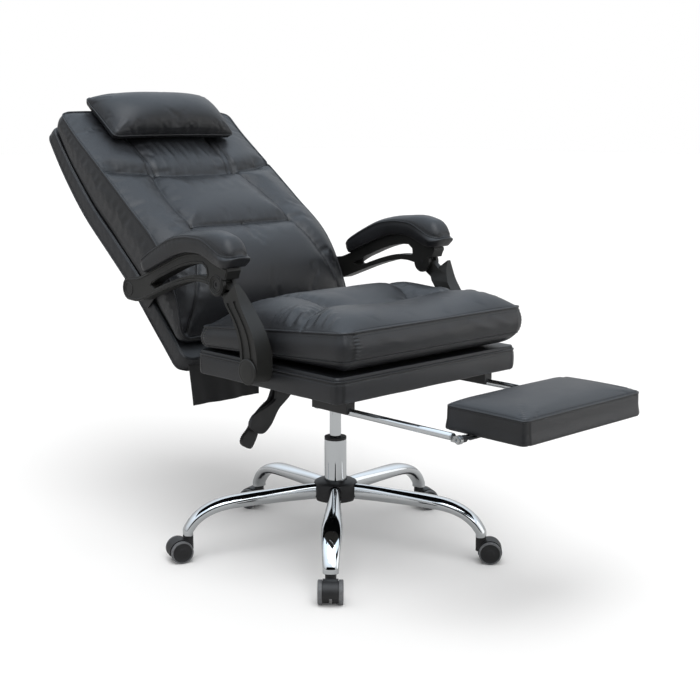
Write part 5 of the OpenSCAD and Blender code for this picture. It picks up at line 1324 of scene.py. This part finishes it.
# a card that only polish and gloss show
def makeCard(name, where, size, toward, shade, glow=0.0):
    bpy.ops.mesh.primitive_plane_add(size=1, location=where)
    card = bpy.context.object
    card.name = name
    card.scale = (*size, 1)
    card.rotation_euler = Vector(toward).to_track_quat("Z", "Y").to_euler()
    finish, tree, shader, _ = newFinish(name, {
        "Base Color": linear(shade), "Roughness": 1.0, "Specular IOR Level": 0.0, "Emission Color": linear(shade),
        "Emission Strength": glow})
    behind = add(tree, "ShaderNodeNewGeometry").outputs["Backfacing"]     # clear when seen from behind
    clear = add(tree, "ShaderNodeBsdfTransparent").outputs[0]
    seen = add(tree, "ShaderNodeMixShader", links={0: behind, 1: shader.outputs[0], 2: clear})
    tree.links.new(seen.outputs[0], tree.get_output_node("ALL").inputs["Surface"])
    card.data.materials.append(finish)
    card.visible_camera = card.visible_diffuse = card.visible_shadow = False
    return card


def stage():
    bpy.ops.mesh.primitive_plane_add(size=60, location=(0, 0, -0.0005))
    floor = bpy.context.object
    floor.name = "floor"
    finish, tree, shader, _ = newFinish("paintedFloor", {"Base Color": linear(studio["floor"]), "Roughness": 0.95,
                                                         "Specular IOR Level": 0.0})
    polished = add(tree, "ShaderNodeLightPath").outputs["Is Glossy Ray"]
    paint = add(tree, "ShaderNodeMix", {"A": linear(studio["floor"]), "B": linear(studio["floorInGloss"])},
                {"Factor": polished}, data_type="RGBA")
    tree.links.new(paint.outputs["Result"], shader.inputs["Base Color"])
    floor.data.materials.append(finish)
    # two black cards, a flag behind the camera and one over the base that paints a reflection of the chair's dark
    # underside into the chrome, and a pale card at the front right
    cards = [makeCard("flag", (-2.45, -2.6, 0.9), (4.4, 1.8), (1, 1, 0), "#0a0a0a"),
             makeCard("undersideReflectionCard", (-0.018, -0.018, 0.31), (1.1, 0.31), (-0.01, -0.01, -1), "#0c0c0d"),
             makeCard("frontCard", (1.7, -1.85, 0.75), (2.4, 1.5), (-1, 1.1, 0), "#ffffff", 0.6)]
    world = bpy.data.worlds.new("studio")
    scene.world = world
    world.use_nodes = True
    tree = world.node_tree
    tree.nodes.clear()
    # seen directly the studio is white; in polish and gloss it is bright overhead and dimmer low down
    path = add(tree, "ShaderNodeLightPath")
    gloss = add(tree, "ShaderNodeMath",
                links={0: path.outputs["Is Glossy Ray"], 1: path.outputs["Is Transmission Ray"]}, operation="MAXIMUM")
    direction = add(tree, "ShaderNodeTexCoord").outputs["Generated"]
    upward = add(tree, "ShaderNodeSeparateXYZ", links={0: direction}).outputs[2]
    glow = between(tree, upward, studio["skyLow"], studio["skyHigh"], 0.0, 0.9)
    plain = add(tree, "ShaderNodeMix", {"A": studio["skyOnObject"]}, {"Factor": gloss.outputs[0], "B": glow},
                data_type="FLOAT")
    strength = add(tree, "ShaderNodeMix", {"B": 1.0},
                   {"Factor": path.outputs["Is Camera Ray"], "A": plain.outputs["Result"]}, data_type="FLOAT")
    cold = add(tree, "ShaderNodeMath", links={0: gloss.outputs[0], 1: upward}, operation="MULTIPLY", use_clamp=True)
    tint = add(tree, "ShaderNodeMix", {"A": linear("#ffffff"), "B": linear(studio["skyInGloss"])},
               {"Factor": cold.outputs[0]}, data_type="RGBA")
    sky = add(tree, "ShaderNodeBackground",
              links={"Color": tint.outputs["Result"], "Strength": strength.outputs["Result"]})
    add(tree, "ShaderNodeOutputWorld", links={"Surface": sky.outputs[0]})
    for name, (toward, angle, power) in studio["lamps"].items():
        lamp = bpy.data.lights.new(name, "SUN")
        lamp.energy, lamp.angle = power, radians(angle)
        obj = bpy.data.objects.new(name, lamp)
        obj.rotation_euler = Vector(toward).to_track_quat("-Z", "Y").to_euler()
        scene.collection.objects.link(obj)


stage()
cameraData = bpy.data.cameras.new("camera")
cameraData.lens, cameraData.sensor_width = view["lens"], 36
camera = bpy.data.objects.new("camera", cameraData)
camera.location = view["from"]
camera.rotation_euler = (Vector(view["at"]) - camera.location).to_track_quat("-Z", "Y").to_euler()
scene.collection.objects.link(camera)
scene.camera = camera

sewThreads()
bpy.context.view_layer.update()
report("finished")
